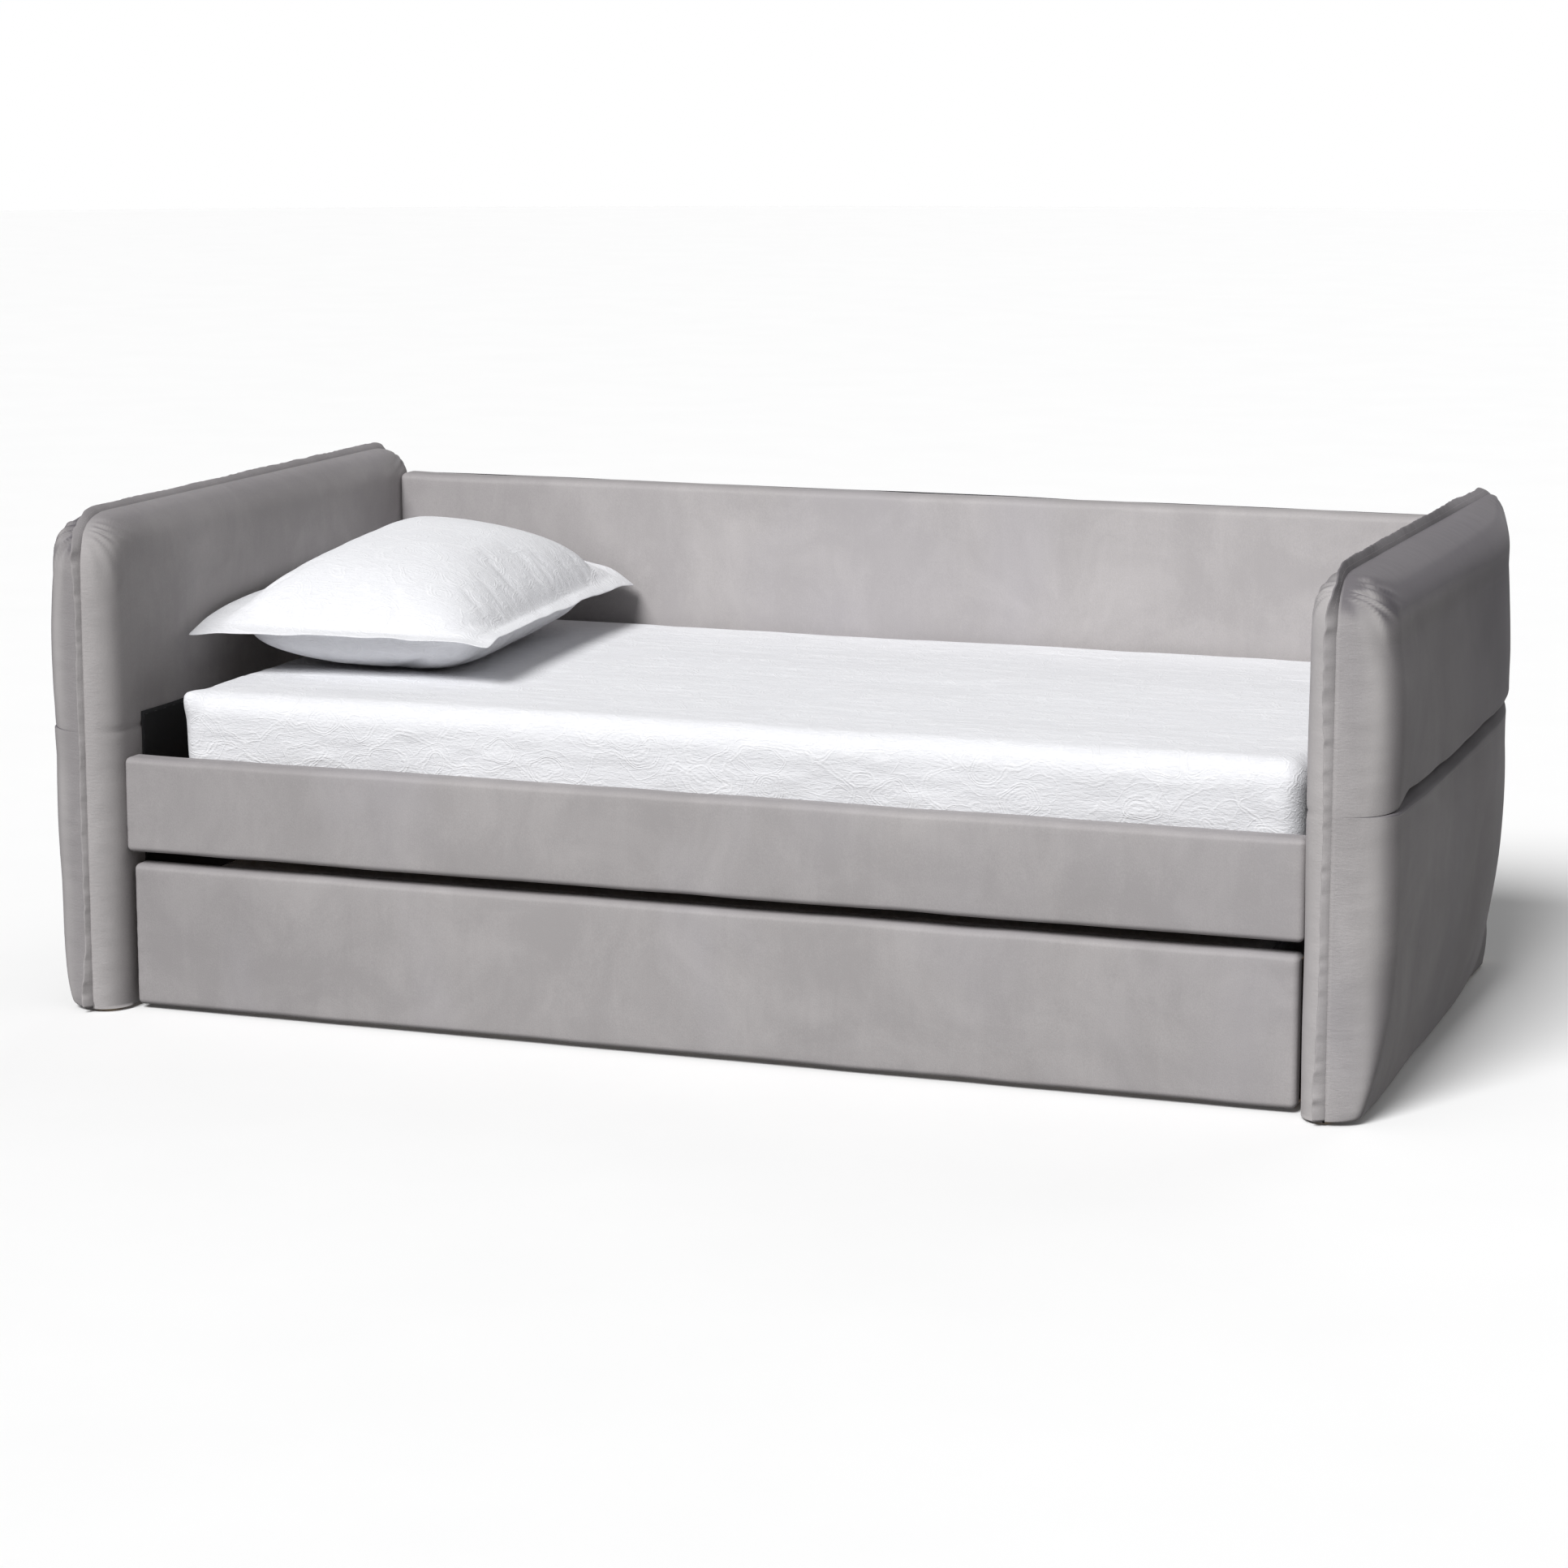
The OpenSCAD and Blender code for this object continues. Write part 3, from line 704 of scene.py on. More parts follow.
# ---------------------------------------------------------------------------
# Thread
# Grey polyester thread. Each run of stitches follows a line of points that
# lies on the cover, a short sunk lozenge of thread for every needle step.
# ---------------------------------------------------------------------------
thread = Finish("grey_thread")
twist = thread.node(
    "ShaderNodeTexWave",
    {"bands_direction": "DIAGONAL"},
    {"Vector": thread.place(), "Scale": 900},
    output="Fac",
)
thread.surface(
    Base_Color=thread.blend(twist, (0.33, 0.31, 0.31), (0.46, 0.43, 0.43)),
    Roughness=0.6,
    Normal=thread.bump(twist, 0.0002, 0.6),
)


def tree_input(tree, name, kind, value):
    """A named input on a Geometry Nodes tree, with its first value."""
    socket = tree.interface.new_socket(name, in_out="INPUT", socket_type=kind)
    if value is not None:
        socket.default_value = value
    return socket


def shape_tree(name):
    """An empty Geometry Nodes tree with geometry in and out."""
    tree = bpy.data.node_groups.new(name, "GeometryNodeTree")
    tree.interface.new_socket("Geometry", in_out="INPUT", socket_type="NodeSocketGeometry")
    tree.interface.new_socket("Geometry", in_out="OUTPUT", socket_type="NodeSocketGeometry")
    return tree


def add_node(tree, kind, settings=None, sockets=None):
    """Any Geometry Nodes node: its settings first, then values or links."""
    made = tree.nodes.new(kind)
    for name, value in (settings or {}).items():
        setattr(made, name, value)
    for name, value in (sockets or {}).items():
        if isinstance(value, bpy.types.NodeSocket):
            tree.links.new(value, made.inputs[name])
        else:
            made.inputs[name].default_value = value
    return made


def close_tree(tree, geometry, finish):
    """Realize Instances, Set Material and the tree's output."""
    real = add_node(tree, "GeometryNodeRealizeInstances", {}, {"Geometry": geometry})
    paint = {"Geometry": real.outputs[0], "Material": finish}
    painted = add_node(tree, "GeometryNodeSetMaterial", {}, paint)
    add_node(tree, "NodeGroupOutput", {}, {0: painted.outputs[0]})


def grow(name, seed_mesh, tree, **inputs):
    """Runs a tree on a mesh and returns the result as a plain mesh object."""
    carrier = bpy.data.objects.new(name + "_carrier", seed_mesh)
    scene.collection.objects.link(carrier)
    modifier = carrier.modifiers.new("grow", "NODES")
    modifier.node_group = tree
    for item in tree.interface.items_tree:
        key = item.name.replace(" ", "_")
        if getattr(item, "in_out", "") == "INPUT" and key in inputs:
            modifier[item.identifier] = inputs[key]
    evaluated = carrier.evaluated_get(bpy.context.evaluated_depsgraph_get())
    mesh = bpy.data.meshes.new_from_object(evaluated)
    mesh.name = name
    made = bpy.data.objects.new(name, mesh)
    scene.collection.objects.link(made)
    bpy.data.objects.remove(carrier)
    return made


def line_mesh(name, *runs):
    """Points joined by edges, one chain for each run."""
    points, edges = [], []
    for run in runs:
        start = len(points)
        points += [tuple(p) for p in run]
        edges += [(i, i + 1) for i in range(start, len(points) - 1)]
    mesh = bpy.data.meshes.new(name)
    mesh.from_pydata(points, edges, [])
    return mesh


stitch_tree = shape_tree("stitches")
tree_input(stitch_tree, "Pitch", "NodeSocketFloat", 0.0045)
tree_input(stitch_tree, "Length", "NodeSocketFloat", 0.0032)
tree_input(stitch_tree, "Thickness", "NodeSocketFloat", 0.0004)
tree_input(stitch_tree, "Finish", "NodeSocketMaterial", thread.material)
stitch_in = add_node(stitch_tree, "NodeGroupInput")
stitch_curve = add_node(stitch_tree, "GeometryNodeMeshToCurve", {}, {"Mesh": stitch_in.outputs["Geometry"]})
stitch_steps = add_node(
    stitch_tree,
    "GeometryNodeResampleCurve",
    {"mode": "LENGTH"},
    {"Curve": stitch_curve.outputs[0], "Length": stitch_in.outputs["Pitch"]},
)
bead_form = {"Segments": 6, "Rings": 4, "Radius": 0.5}
stitch_bead = add_node(stitch_tree, "GeometryNodeMeshUVSphere", {}, bead_form)
stitch_along = add_node(stitch_tree, "GeometryNodeInputTangent")
stitch_turn = add_node(
    stitch_tree,
    "FunctionNodeAlignRotationToVector",
    {"axis": "Z"},
    {"Vector": stitch_along.outputs[0]},
)
stitch_size = add_node(
    stitch_tree,
    "ShaderNodeCombineXYZ",
    {},
    {
        "X": stitch_in.outputs["Thickness"],
        "Y": stitch_in.outputs["Thickness"],
        "Z": stitch_in.outputs["Length"],
    },
)
stitch_run = add_node(
    stitch_tree,
    "GeometryNodeInstanceOnPoints",
    {},
    {
        "Points": stitch_steps.outputs[0],
        "Instance": stitch_bead.outputs[0],
        "Rotation": stitch_turn.outputs[0],
        "Scale": stitch_size.outputs[0],
    },
)
close_tree(stitch_tree, stitch_run.outputs[0], stitch_in.outputs["Finish"])


def surface_hits(piece, starts, direction):
    """Where rays from the starts first meet a piece."""
    hits = []
    for start in starts:
        found, place, _, _ = piece.ray_cast(Vector(start), Vector(direction))
        if found:
            hits.append(place)
    return hits


for side, sign in SIDES:
    outer = bpy.data.objects[f"{side}_outer_lower_skin"]
    inner = bpy.data.objects[f"{side}_inner_skin"]
    outside = sign * (inner_plane + 0.3)
    starts = [(outside, y, crease_z - 0.0035) for y in np.arange(-0.53, 0.53, 0.004)]
    runs = [surface_hits(outer, starts, (-sign, 0, 0))]
    inside = sign * (inner_plane - 0.05)
    starts = [(inside, y, crease_z - 0.004) for y in np.arange(-0.57, -0.488, 0.004)]
    runs.append(surface_hits(inner, starts, (sign, 0, 0)))
    runs += fin_stitches[f"{side}_seam_fin"]
    lines = line_mesh("stitch_lines", *[run for run in runs if len(run) > 2])
    stitches = grow(f"{side}_panel_stitches", lines, stitch_tree)
    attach(stitches, BODY)

# ---------------------------------------------------------------------------
# Board and softwood
# Cores, rails and cleats are sawn board and pine with the grain along the
# piece. The slats are peeled and glued birch, paler and smoother.
# ---------------------------------------------------------------------------


def wood(name, along, light, dark, ring=26.0):
    """Timber with its grain along one axis: 0 is x, 1 is y and 2 is z."""
    made = Finish(name)
    stretch = [ring, ring, ring]
    stretch[along] = ring * 0.045
    bend = made.noise(made.place(tuple(s * 0.25 for s in stretch)), 1.0, 3, 0.5)
    rings = made.noise(made.place(tuple(stretch)), 2.2, 4, 0.6, 1.6)
    fibre_scale = [900.0, 900.0, 900.0]
    fibre_scale[along] = 26.0
    fibre = made.noise(made.place(tuple(fibre_scale)), 1.0, 2, 0.6)
    band = rings.math("SINE", rings * 38 + bend * 9) * 0.5 + 0.5
    tone = band * 0.55 + fibre * 0.45
    made.surface(
        Base_Color=made.blend(tone, dark, light),
        Roughness=0.72 - band * 0.12,
        Normal=made.bump(fibre * 0.6 + band * 0.4, 0.0006, 0.5),
    )
    return made


long_wood = wood("pine_along_bed", 0, (0.62, 0.44, 0.25), (0.47, 0.30, 0.15))
cross_wood = wood("pine_across_bed", 1, (0.62, 0.44, 0.25), (0.47, 0.30, 0.15))
slat_wood = wood("birch_slat", 1, (0.72, 0.56, 0.36), (0.60, 0.43, 0.25), ring=34.0)

board = Finish("core_board")
chips = board.node(
    "ShaderNodeTexVoronoi",
    {"feature": "F1"},
    {"Vector": board.place((1, 1, 2.2)), "Scale": 260},
    output="Distance",
)
dust = board.noise(board.place(), 95, 4, 0.65)
board.surface(
    Base_Color=board.blend(chips * 0.7 + dust * 0.5, (0.44, 0.31, 0.18), (0.66, 0.50, 0.32)),
    Roughness=0.82,
    Normal=board.bump(chips, 0.0004, 0.4),
)


def repaint(finish, *names):
    """Gives CAD nodes that stay in the picture their real finish."""
    for name in names:
        mesh = nodes[name].data
        mesh.materials.clear()
        mesh.materials.append(finish.material)


repaint(board, "left_core", "right_core", "front_rail_board", "back_panel_board", "trundle_front_board")
repaint(long_wood, "front_cleat", "back_cleat", "centre_beam", "trundle_back_rail")
repaint(long_wood, "trundle_front_cleat", "trundle_back_cleat", "trundle_centre_beam")
repaint(cross_wood, "trundle_left_rail", "trundle_right_rail", "trundle_corner_blocks")
repaint(slat_wood, *[f"bed_slat_{i:02d}" for i in range(1, 13)], "trundle_slats")

# ---------------------------------------------------------------------------
# Zinc-plated steel
# Corner brackets, beam brackets, bolts and the caster forks and axles: pressed
# steel with a thin cloudy plating, duller in cloudy patches and finely scratched.
# ---------------------------------------------------------------------------
zinc = Finish("zinc_plate")
haze = zinc.noise(zinc.place(), 48, 4, 0.6)
scratch = zinc.noise(zinc.place((1500, 60, 60)), 1.0, 2, 0.6)
zinc.shader.inputs["Metallic"].default_value = 1.0
zinc.surface(
    Base_Color=zinc.blend(haze, (0.50, 0.52, 0.55), (0.68, 0.69, 0.70)),
    Roughness=0.30 + haze * 0.22 + scratch * 0.06,
    Normal=zinc.bump(scratch, 0.0001, 0.3),
)
repaint(zinc, "beam_brackets", "frame_bolts", "caster_forks", "caster_axles")
repaint(zinc, *[f"corner_bracket_{corner}" for corner in ("fl", "fr", "bl", "br")])

# ---------------------------------------------------------------------------
# Dark plastic
# Moulded nylon: the four caster wheels with a lightly worn tread, and the
# glides that are pressed into the underside of the end panels.
# ---------------------------------------------------------------------------
plastic = Finish("dark_nylon")
mould = plastic.noise(plastic.place(), 420, 3, 0.6)
scuff = plastic.noise(plastic.place(), 70, 5, 0.7, 0.5)
plastic.surface(
    Base_Color=plastic.blend(scuff, (0.030, 0.030, 0.032), (0.062, 0.060, 0.058)),
    Roughness=0.38 + scuff * 0.3,
    Normal=plastic.bump(mould, 0.0002, 0.5),
)
repaint(plastic, "left_glides", "right_glides")
repaint(plastic, *[f"caster_wheel_{corner}" for corner in ("fl", "fr", "bl", "br")])

# ---------------------------------------------------------------------------
# Webbing
# Two woven tapes are stapled along the slats so that they keep their places.
# ---------------------------------------------------------------------------
tape = Finish("cotton_tape")
rib = {"Vector": tape.place(), "Scale": 160}
tape_weave = tape.node("ShaderNodeTexWave", {"bands_direction": "X"}, rib, output="Fac")
tape_cross = tape.node("ShaderNodeTexWave", {"bands_direction": "Y"}, rib, output="Fac")
tape_height = tape_weave * tape_cross
tape.surface(
    Base_Color=tape.blend(tape_height, (0.58, 0.55, 0.50), (0.78, 0.76, 0.71)),
    Roughness=0.9,
    Normal=tape.bump(tape_height, 0.0006, 0.8),
)
repaint(tape, "slat_tapes")

# ---------------------------------------------------------------------------
# Lining cloth
# Thin black spun-bonded cloth: it closes the inner face of each end below the
# mattress and the rear of the back panel, and is stapled along its edges.
# ---------------------------------------------------------------------------
lining = Finish("black_lining")
bond_dots = {"Vector": lining.place(), "Scale": 420, "Randomness": 0.2}
bond = lining.node("ShaderNodeTexVoronoi", {"feature": "F1"}, bond_dots, output="Distance")
fuzz = lining.noise(lining.place(), 60, 4, 0.6)
lining.surface(
    Base_Color=lining.blend(bond * 0.6 + fuzz * 0.4, (0.006, 0.006, 0.007), (0.016, 0.016, 0.018)),
    Roughness=0.88,
    Normal=lining.bump(bond, 0.0003, 0.6),
)


def lining_sheet(name, low, high, along, seed):
    """A thin flat cloth in the y-z or x-z plane with gently wavy edges."""
    count, rise = 120, 60
    across, up = np.meshgrid(np.linspace(0, 1, count), np.linspace(0, 1, rise))
    run = low[along] + (high[along] - low[along]) * across
    z = low[2] + (high[2] - low[2]) * up
    inset = 0.0015 + 0.0012 * clouds(up * 9, up * 0, seed)
    run = run + (0.5 - across) * 2 * inset
    z = z + (0.5 - up) * 2 * (0.0012 + 0.0010 * clouds(across * 12, across * 0, seed + 1))
    slack = 0.0005 * clouds(across * 14, up * 6, seed + 2) * np.sin(across * np.pi) * np.sin(up * np.pi)
    face = (low[1 - along] + high[1 - along]) / 2 + slack
    half = 0.0003
    layers = []
    for offset in (-half, half):
        plane = face + offset
        x, y = (plane, run) if along == 1 else (run, plane)
        layers.append(np.stack((x, y, z), axis=2))
    points = np.concatenate([layer.reshape(-1, 3) for layer in layers])
    return link_mesh(name, points, double_grid_faces(rise, count), lining)


def staple_lines(low, high, along, face):
    """Four lines of staples a little inside a lining's edges."""
    ends = (low[along] + 0.008, high[along] - 0.008)
    levels = (low[2] + 0.008, high[2] - 0.008)
    corners = [(ends[0], levels[0]), (ends[1], levels[0]), (ends[1], levels[1]), (ends[0], levels[1])]
    lines = []
    for start, end in zip(corners, corners[1:] + corners[:1]):
        places = [np.array(start) * (1 - part) + np.array(end) * part for part in (0.01, 0.99)]
        lines.append([(face, u, v) if along == 1 else (u, face, v) for u, v in places])
    return lines


STAPLE = {"Pitch": 0.030, "Length": 0.011, "Thickness": 0.0008}
for side, sign in SIDES:
    low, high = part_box(f"{side}_dust_cover")
    cloth = lining_sheet(f"{side}_lining", low, high, 1, 500 + sign)
    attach(cloth, BODY)
    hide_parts(f"{side}_dust_cover")
    lines = staple_lines(low, high, 1, (low.x + high.x) / 2 - sign * 0.0005)
    lines = line_mesh("staple_lines", *lines)
    staples = grow(f"{side}_lining_staples", lines, stitch_tree, Finish=plastic.material, **STAPLE)
    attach(staples, BODY)

low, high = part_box("back_lining")
cloth = lining_sheet("back_lining_cloth", low, high, 0, 510)
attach(cloth, BODY)
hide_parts("back_lining")
lines = staple_lines(low, high, 0, (low.y + high.y) / 2 + 0.0005)
lines = line_mesh("staple_lines", *lines)
staples = grow("back_lining_staples", lines, stitch_tree, Finish=zinc.material, **STAPLE)
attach(staples, BODY)

# ---------------------------------------------------------------------------
# Covered boards
# Front rail, back panel and the front of the lower bed: a board with a thin
# layer of foam, wrapped in velvet that is pulled round and stapled behind.
# ---------------------------------------------------------------------------


def block_stations(low, high, radius, cell):
    """Stations over a side with angle steps in its two rounded ends."""
    turn = np.tan(np.linspace(0, math.pi / 4, 5))
    flat = np.linspace(low + radius, high - radius, max(int((high - low - 2 * radius) / cell), 1) + 1)
    start = low + radius - radius * turn[::-1]
    end = high - radius + radius * turn
    return np.concatenate((start[:-1], flat, end[1:]))


def soft_block(low, high, radius, cells):
    """Points and faces of a box whose edges are rounded by a radius per axis."""
    low, high, radius = np.array(low), np.array(high), np.array(radius)
    stations = [block_stations(low[i], high[i], radius[i], cells[i]) for i in range(3)]
    points, faces, start = [], [], 0
    for axis in range(3):
        first, second = [i for i in range(3) if i != axis]
        for value in (low[axis], high[axis]):
            grid = np.zeros((len(stations[first]), len(stations[second]), 3))
            grid[..., first] = stations[first][:, None]
            grid[..., second] = stations[second][None, :]
            grid[..., axis] = value
            faces += grid_faces(grid.shape[0], grid.shape[1], start)
            points.append(grid.reshape(-1, 3))
            start += grid.shape[0] * grid.shape[1]
    points = np.concatenate(points)
    inside = np.clip(points, low + radius, high - radius)
    reach = (points - inside) / radius
    length = np.linalg.norm(reach, axis=1, keepdims=True)
    points = inside + reach / np.maximum(length, 1e-9) * radius
    return points, faces


def covered_board(name, node, radius, puff, seed, painted_sheen_amount):
    """A rounded velvet block in a CAD cover's place, a little crowned."""
    cell = 0.009
    low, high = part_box(node)
    points, faces = soft_block(low, high, (radius, radius * 1.1, radius), (cell, cell, cell))
    middle = (np.array(low) + np.array(high)) / 2
    half = (np.array(high) - np.array(low)) / 2
    share = (points - middle) / half
    front = smooth_step(-share[:, 1], 0.2, 0.9)
    crown = (1 - share[:, 2] ** 2) * (1 - np.abs(share[:, 0]) ** 8)
    cloud = 0.0009 * clouds(points[:, 0] / 0.16, points[:, 2] / 0.11, seed)
    points[:, 1] -= front * (puff * crown + cloud * crown)
    end = np.exp(-(1 - np.abs(share[:, 0])) * half[0] / 0.03)
    pull = 0.0008 * clouds(points[:, 0] / 0.06, points[:, 2] / 0.012, seed + 1) * end
    points[:, 1] += pull * front
    wave = 0.0010 * clouds(points[:, 0] / 0.09, share[:, 2] * 0, seed + 2)
    points[:, 2] += wave * np.sign(share[:, 2]) * smooth_step(np.abs(share[:, 2]), 0.7, 1)
    made = link_mesh(name, points, faces, velvet)
    # Painted shade darkens the faces that turn up and the left end; a painted sheen lightens the whole
    # board in cloudy patches, by an amount given per board.
    mark_pucker_and_painted_light(
        made,
        lambda p: np.exp(-(half[0] - np.abs(p[:, 0] - middle[0])) / 0.02) * 0.6,
        lambda p, n: 0.2 * smooth_step(n[:, 2], 0.3, 0.9)
        + 0.18 * smooth_step(-p[:, 0], 0.2, 0.95) ** 1.5,
        lambda p, n: painted_sheen_amount * (0.6 + 0.4 * clouds(p[:, 0] / 0.31, p[:, 2] / 0.19, seed + 5)),
    )
    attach(made, BODY if not name.startswith("trundle") else "trundle")
    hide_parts(node)


# The last column is the amount of painted sheen on each board.
for name, node, radius, puff, seed, painted_sheen_amount in (
    ("front_rail_skin", "front_rail_cover", 0.010, 0.002, 600, 0.08),
    ("back_panel_skin", "back_panel_cover", 0.012, 0.003, 610, 0.12),
    ("trundle_front_skin", "trundle_front_cover", 0.010, 0.0025, 620, 0.06),
):
    covered_board(name, node, radius, puff, seed, painted_sheen_amount)

# ---------------------------------------------------------------------------
# Quilted cotton
# The mattress and pillow covers: white cotton woven in two layers, so that
# corded medallions and long arcs stand up on a crinkled ground.
# ---------------------------------------------------------------------------


def quilted(name, low, high):
    """White double cloth: corded medallions and arcs on a crinkled ground."""
    made = Finish(name)
    wander = {"Vector": made.place(), "Scale": 13.0, "Detail": 2.0}
    drift = made.node("ShaderNodeTexNoise", {}, wander, output="Color")
    drift = made.node("ShaderNodeVectorMath", {"operation": "SUBTRACT"}, {0: drift, 1: (0.5, 0.5, 0.5)})
    drift = made.node("ShaderNodeVectorMath", {"operation": "SCALE"}, {0: drift, "Scale": 0.075})
    ground_point = made.place((1, 1.15, 1.35))
    point = made.node("ShaderNodeVectorMath", {"operation": "ADD"}, {0: ground_point, 1: drift})
    medallions = {"Vector": point, "Scale": 12.5, "Randomness": 0.9}
    medal = made.node("ShaderNodeTexVoronoi", {"feature": "F1"}, medallions)
    kind = made.node("ShaderNodeTexVoronoi", {"feature": "F1"}, medallions, output="Color")
    kind = made.node("ShaderNodeSeparateColor", {}, {"Color": kind})
    arcs = {"Vector": point, "Scale": 6.3, "Smoothness": 0.3}
    arc = made.node("ShaderNodeTexVoronoi", {"feature": "SMOOTH_F1"}, arcs)
    double_cord = ((0.36, 0.0), (0.385, 1.0), (0.41, 0.1), (0.445, 0.9), (0.475, 0.0))
    outer_cord = ((0.60, 0.0), (0.62, 0.7), (0.65, 0.0))
    cords = {"stops": ((0.0, 0.0), *double_cord, *outer_cord)}
    outline = made.node("ShaderNodeValToRGB", cords, {"Fac": medal})
    arc_cord = {"stops": ((0.44, 0.0), (0.46, 0.9), (0.48, 0.1), (0.50, 0.8), (0.52, 0.0))}
    sweep = made.node("ShaderNodeValToRGB", arc_cord, {"Fac": arc})
    inside = made.node("ShaderNodeValToRGB", {"stops": ((0.33, 1.0), (0.37, 0.0))}, {"Fac": medal})
    ringed = made.node("ShaderNodeValToRGB", {"stops": ((0.40, 0.0), (0.50, 1.0))}, {"Fac": kind})
    ring = medal.math("SINE", medal * 68.0) * 0.5 + 0.5
    crinkle = made.noise(made.place((60, 200, 250)), 1.0, 3, 0.62, 0.9)
    pebble = made.noise(made.place((190, 330, 330)), 1.0, 2, 0.5, 0.4)
    ground = crinkle + pebble * 0.4
    corded = inside * ringed
    height = outline * 0.26 + sweep * 0.24 + ring * corded * 0.14 + ground * 0.72
    made.shader.inputs["Sheen Weight"].default_value = 0.08
    made.shader.inputs["Sheen Roughness"].default_value = 0.5
    made.surface(
        Base_Color=made.blend(height, low, high),
        Roughness=0.84 - crinkle * 0.08,
        Normal=made.bump(height, 0.0024, 0.8),
    )
    return made


cotton = quilted("quilted_cotton", (0.69, 0.695, 0.725), (0.81, 0.813, 0.835))

MATTRESS_ROUNDING = (0.034, 0.040, 0.042)
MATTRESS_CELLS = (0.005, 0.006, 0.005)
low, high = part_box("mattress")
points, faces = soft_block(low, high, MATTRESS_ROUNDING, MATTRESS_CELLS)
middle = (np.array(low) + np.array(high)) / 2
half = (np.array(high) - np.array(low)) / 2
share = (points - middle) / half
front = smooth_step(-share[:, 1], 0.86, 0.98)
left = smooth_step(-share[:, 0], 0.93, 0.99)
points[:, 1] -= front * 0.0010 * clouds(points[:, 0] / 0.05, points[:, 2] / 0.016, 705)
belly = 0.004 * (1 - share[:, 2] ** 2) * (1 - np.abs(share[:, 0]) ** 6)
points[:, 1] -= front * (belly + 0.0022 * clouds(points[:, 0] / 0.13, points[:, 2] / 0.10, 706))
lean = 0.014 * smooth_step(-share[:, 2], -0.2, 1.0)
points[:, 0] += left * (lean + 0.002 * clouds(points[:, 1] / 0.06, points[:, 2] / 0.05, 707))
wrinkle = 0.0030 * clouds(points[:, 0] / 0.028 + points[:, 2] / 0.08, points[:, 2] / 0.05, 708)
points[:, 1] -= front * wrinkle * smooth_step(share[:, 0], 0.90, 0.97)
sag = 0.0020 * clouds(points[:, 0] / 0.21, points[:, 1] / 0.12, 710)
sag = sag + 0.0007 * clouds(points[:, 0] / 0.06, points[:, 1] / 0.014, 711)
points[:, 2] += (sag - 0.0015) * smooth_step(share[:, 2], 0.8, 1.0)
ear = np.array((low.x + 0.014, low.y + 0.014, high.z - 0.012))
near = np.exp(-(np.linalg.norm(points - ear, axis=1) / 0.022) ** 2)
points += near[:, None] * np.array((-0.007, -0.009, 0.009))
mattress = link_mesh("mattress_body", points, faces, cotton)
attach(mattress, BODY)
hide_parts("mattress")

# ---------------------------------------------------------------------------
# Pillow
# A square-cornered pillow with a flat border all round, in the same cotton.
# It is filled soft and leans a little where it meets the left end.
# ---------------------------------------------------------------------------
bed_top = high.z + 0.001
HALF_WIDTH = 0.2635
HALF_LENGTH = 0.385
BORDER = 0.036
# Its corners: front left, front right, rear right and rear left.
EARS = (
    (-0.972, -0.345, 0.600),
    (-0.450, -0.286, 0.600),
    (-0.506, 0.483, 0.600),
    (-0.965, 0.452, 0.637),
)


def pillow_form(rows, columns):
    """Upper and lower cloth as grids: a full middle in a flat border."""
    across, along = np.meshgrid(np.linspace(-1, 1, columns), np.linspace(-1, 1, rows))
    right = (1 + across) / 2
    rear = (1 + along) / 2
    ears = np.array(EARS)
    base = ears[0] * ((1 - right) * (1 - rear))[..., None]
    base = base + ears[1] * (right * (1 - rear))[..., None]
    base = base + ears[2] * (right * rear)[..., None]
    base = base + ears[3] * ((1 - right) * rear)[..., None]
    base[..., 0] -= np.sign(across) * np.abs(across) ** 3 * 0.013 * (1 - along**2)
    base[..., 1] -= np.sign(along) * np.abs(along) ** 3 * 0.016 * (1 - across**2)
    base[..., 2] += 0.030 * (1 - right) ** 1.5 * (1 - along**4)
    base[..., 2] += 0.034 * rear**1.5 * (1 - across**4)
    wide = np.abs(across) * HALF_WIDTH / (HALF_WIDTH - BORDER)
    deep = np.abs(along) * HALF_LENGTH / (HALF_LENGTH - BORDER)
    edge = smooth_step(np.maximum(wide, deep), 1.0, 1.1)
    ripple = clouds(base[..., 0] / 0.045, base[..., 1] / 0.045, 740)
    base[..., 2] += 0.0022 * edge * ripple
    tip = smooth_step(np.minimum(wide, deep), 0.90, 1.15)
    base[..., 2] -= 0.006 * tip
    round_reach = np.clip((wide**5 + deep**5) ** 0.2, 0, 1)
    inner_wide = np.clip(wide, 0, 1)
    inner_deep = np.clip(deep, 0, 1)
    fill = 0.42 * ((1 - inner_wide**2.0) * (1 - inner_deep**2.0)) ** 0.45
    fill = fill + 0.58 * (1 - round_reach**2.0) ** 0.6
    belly = 0.42 * ((1 - inner_wide**2.84) * (1 - inner_deep**2.84)) ** 0.35
    belly = belly + 0.58 * (1 - round_reach**2.84) ** 0.45
    end_gather = clouds(base[..., 0] / 0.013, base[..., 1] / 0.10, 741)
    side_gather = clouds(base[..., 0] / 0.10, base[..., 1] / 0.013, 742)
    gather = end_gather * np.clip(deep - wide, 0, 1) * 3
    gather = gather + side_gather * np.clip(wide - deep, 0, 1) * 3
    near_seam = np.exp(-(1 - np.clip(np.maximum(wide, deep), 0, 1)) / 0.10) * (fill > 0)
    slack = clouds(base[..., 0] / 0.11, base[..., 1] / 0.13, 743)
    fold = 0.0005 * np.clip(gather, -1, 1) * near_seam + 0.0020 * slack * fill
    upper = base.copy()
    upper[..., 2] += 0.086 * fill + 0.0011 + fold
    under = base.copy()
    under[..., 2] -= 0.088 * belly + 0.0011 - fold
    return upper, under


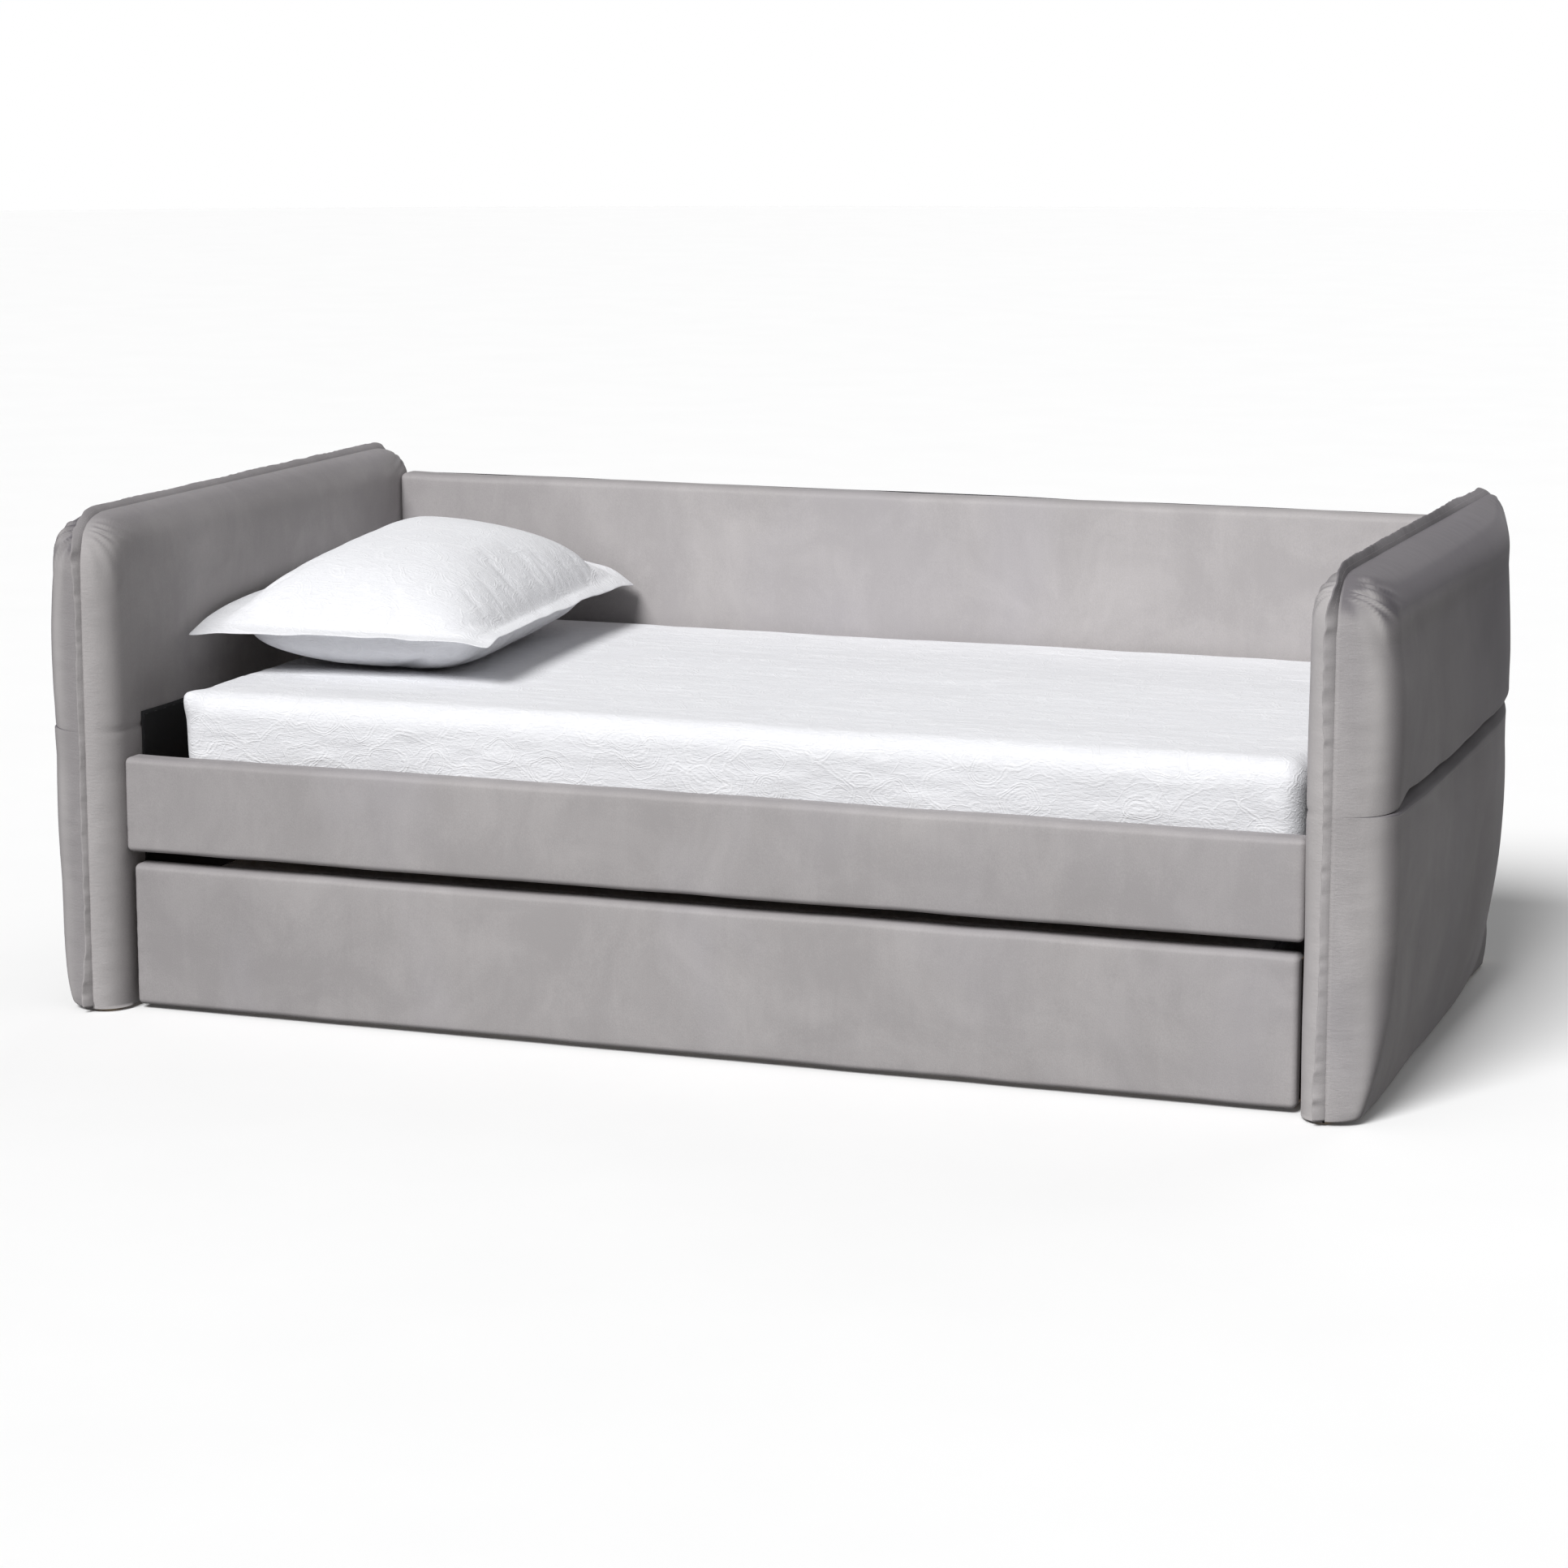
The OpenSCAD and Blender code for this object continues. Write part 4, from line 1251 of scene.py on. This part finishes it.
def swell(piece, held, frames, pressure, most):
    """Blows a closed cloth up a little; no point may move further than most."""
    mesh = piece.data
    before = mesh_points(mesh)
    group = piece.vertex_groups.new(name="held")
    group.add([int(i) for i in np.nonzero(held)[0]], 1.0, "REPLACE")
    cloth = piece.modifiers.new("cloth", "CLOTH")
    cloth.settings.quality = 6
    cloth.settings.mass = 0.25
    cloth.settings.tension_stiffness = 18
    cloth.settings.compression_stiffness = 16
    cloth.settings.shear_stiffness = 8
    cloth.settings.bending_stiffness = 0.4
    cloth.settings.air_damping = 3.0
    cloth.settings.use_pressure = True
    cloth.settings.uniform_pressure_force = pressure
    cloth.settings.shrink_min = -0.007
    cloth.settings.vertex_group_mass = "held"
    cloth.settings.effector_weights.gravity = 0
    cloth.point_cache.frame_start = 1
    cloth.point_cache.frame_end = frames
    for step in range(1, frames + 1):
        scene.frame_set(step)
    swollen = piece.evaluated_get(bpy.context.evaluated_depsgraph_get())
    move = mesh_points(swollen.data) - before
    piece.modifiers.clear()
    piece.vertex_groups.clear()
    scene.frame_set(1)
    size = np.linalg.norm(move, axis=1, keepdims=True)
    move = move * np.minimum(1, most / np.maximum(size, 1e-9))
    mesh.vertices.foreach_set("co", (before + move).ravel())


upper, under = pillow_form(96, 66)
rows, columns = upper.shape[:2]
case_points = np.concatenate((upper.reshape(-1, 3), under.reshape(-1, 3)))
pillow = link_mesh("pillow_body", case_points, double_grid_faces(rows, columns), cotton)
thick = np.abs(upper[..., 2] - under[..., 2]).ravel()
swell(pillow, np.tile(thick < 0.02, 2), 12, 3.0, 0.009)
soft = mesh_points(pillow.data)
soft[:, 2] = np.maximum(soft[:, 2], bed_top)
pillow.data.vertices.foreach_set("co", soft.ravel())
pillow.data.update()
finer = pillow.modifiers.new("finer", "SUBSURF")
finer.levels = 1
finer.render_levels = 1
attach(pillow, BODY)
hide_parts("pillow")

seam_rows = int(round(BORDER / (2 * HALF_LENGTH) * (rows - 1)))
seam_columns = int(round(BORDER / (2 * HALF_WIDTH) * (columns - 1)))
index = np.arange(rows * columns).reshape(rows, columns)
seam_index = [
    *index[seam_rows, seam_columns:columns - seam_columns],
    *index[seam_rows + 1:rows - seam_rows, columns - 1 - seam_columns],
    *index[rows - 1 - seam_rows, columns - 2 - seam_columns:seam_columns - 1:-1],
    *index[rows - 2 - seam_rows:seam_rows - 1:-1, seam_columns],
]
seam_line = line_mesh("pillow_seam", soft[seam_index])
pillow_seam = grow("pillow_stitches", seam_line, stitch_tree, Thickness=0.0006)
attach(pillow_seam, BODY)

# ---------------------------------------------------------------------------
# Lower mattress
# A thin foam mattress in plain woven ticking, piped along its edges.
# ---------------------------------------------------------------------------
ticking = Finish("woven_ticking")
twill_form = {"Vector": ticking.place(), "Scale": 110, "Distortion": 0.6, "Detail Scale": 2.0}
twill = ticking.node("ShaderNodeTexWave", {"bands_direction": "DIAGONAL"}, twill_form, output="Fac")
wear = ticking.noise(ticking.place(), 35, 4, 0.6)
ticking.surface(
    Base_Color=ticking.blend(twill * 0.6 + wear * 0.4, (0.62, 0.62, 0.66), (0.78, 0.78, 0.81)),
    Roughness=0.85,
    Normal=ticking.bump(twill, 0.0005, 0.6),
)
low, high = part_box("trundle_mattress")
LOWER_ROUNDING = (0.022, 0.022, 0.018)
LOWER_CELLS = (0.010, 0.010, 0.010)
points, faces = soft_block(low, high, LOWER_ROUNDING, LOWER_CELLS)
middle = (np.array(low) + np.array(high)) / 2
half = (np.array(high) - np.array(low)) / 2
share = (points - middle) / half
rise = 0.0016 * clouds(points[:, 0] / 0.17, points[:, 1] / 0.15, 800)
points[:, 2] += rise * smooth_step(share[:, 2], 0.5, 1.0)
lower_mattress = link_mesh("trundle_mattress_body", points, faces, ticking)
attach(lower_mattress, "trundle")
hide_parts("trundle_mattress")


def piped_edge(level, inset, corner, radius):
    """A thin cord round the mattress at one height."""
    path = []
    outward = []
    for quarter in range(4):
        for turn in np.linspace(0, math.pi / 2, 9) + quarter * math.pi / 2:
            way = np.array((math.cos(turn), math.sin(turn), 0))
            side_x = 1 if quarter in (0, 3) else -1
            side_y = 1 if quarter in (0, 1) else -1
            centre = middle + (half - inset - corner) * (side_x, side_y, 0)
            path.append((centre[0] + corner * way[0], centre[1] + corner * way[1], level))
            outward.append(way)
    path = np.array(path)
    outward = np.array(outward)
    upward = np.array((0, 0, 1))
    rings = []
    for turn in np.linspace(0, 2 * math.pi, 9)[:-1]:
        rings.append(path + radius * (math.cos(turn) * outward + math.sin(turn) * upward))
    rings.append(rings[0])
    grid = np.array(rings)
    return np.concatenate((grid, grid[:, :1]), axis=1)


PIPE_RADIUS = 0.0028
PIPE_INSET = 0.0062
PIPE_CORNER = 0.0158
PIPE_DEPTH = 0.0056
pipe_up = piped_edge(high.z - PIPE_DEPTH, PIPE_INSET, PIPE_CORNER, PIPE_RADIUS)
pipe_down = piped_edge(low.z + PIPE_DEPTH, PIPE_INSET, PIPE_CORNER, PIPE_RADIUS)
ring_rows, ring_columns = pipe_up.shape[:2]
pipe_faces = grid_faces(ring_rows, ring_columns)
pipe_faces += grid_faces(ring_rows, ring_columns, ring_rows * ring_columns)
pipe_points = np.concatenate((pipe_up.reshape(-1, 3), pipe_down.reshape(-1, 3)))
piping = link_mesh("trundle_mattress_piping", pipe_points, pipe_faces, ticking)
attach(piping, "trundle")
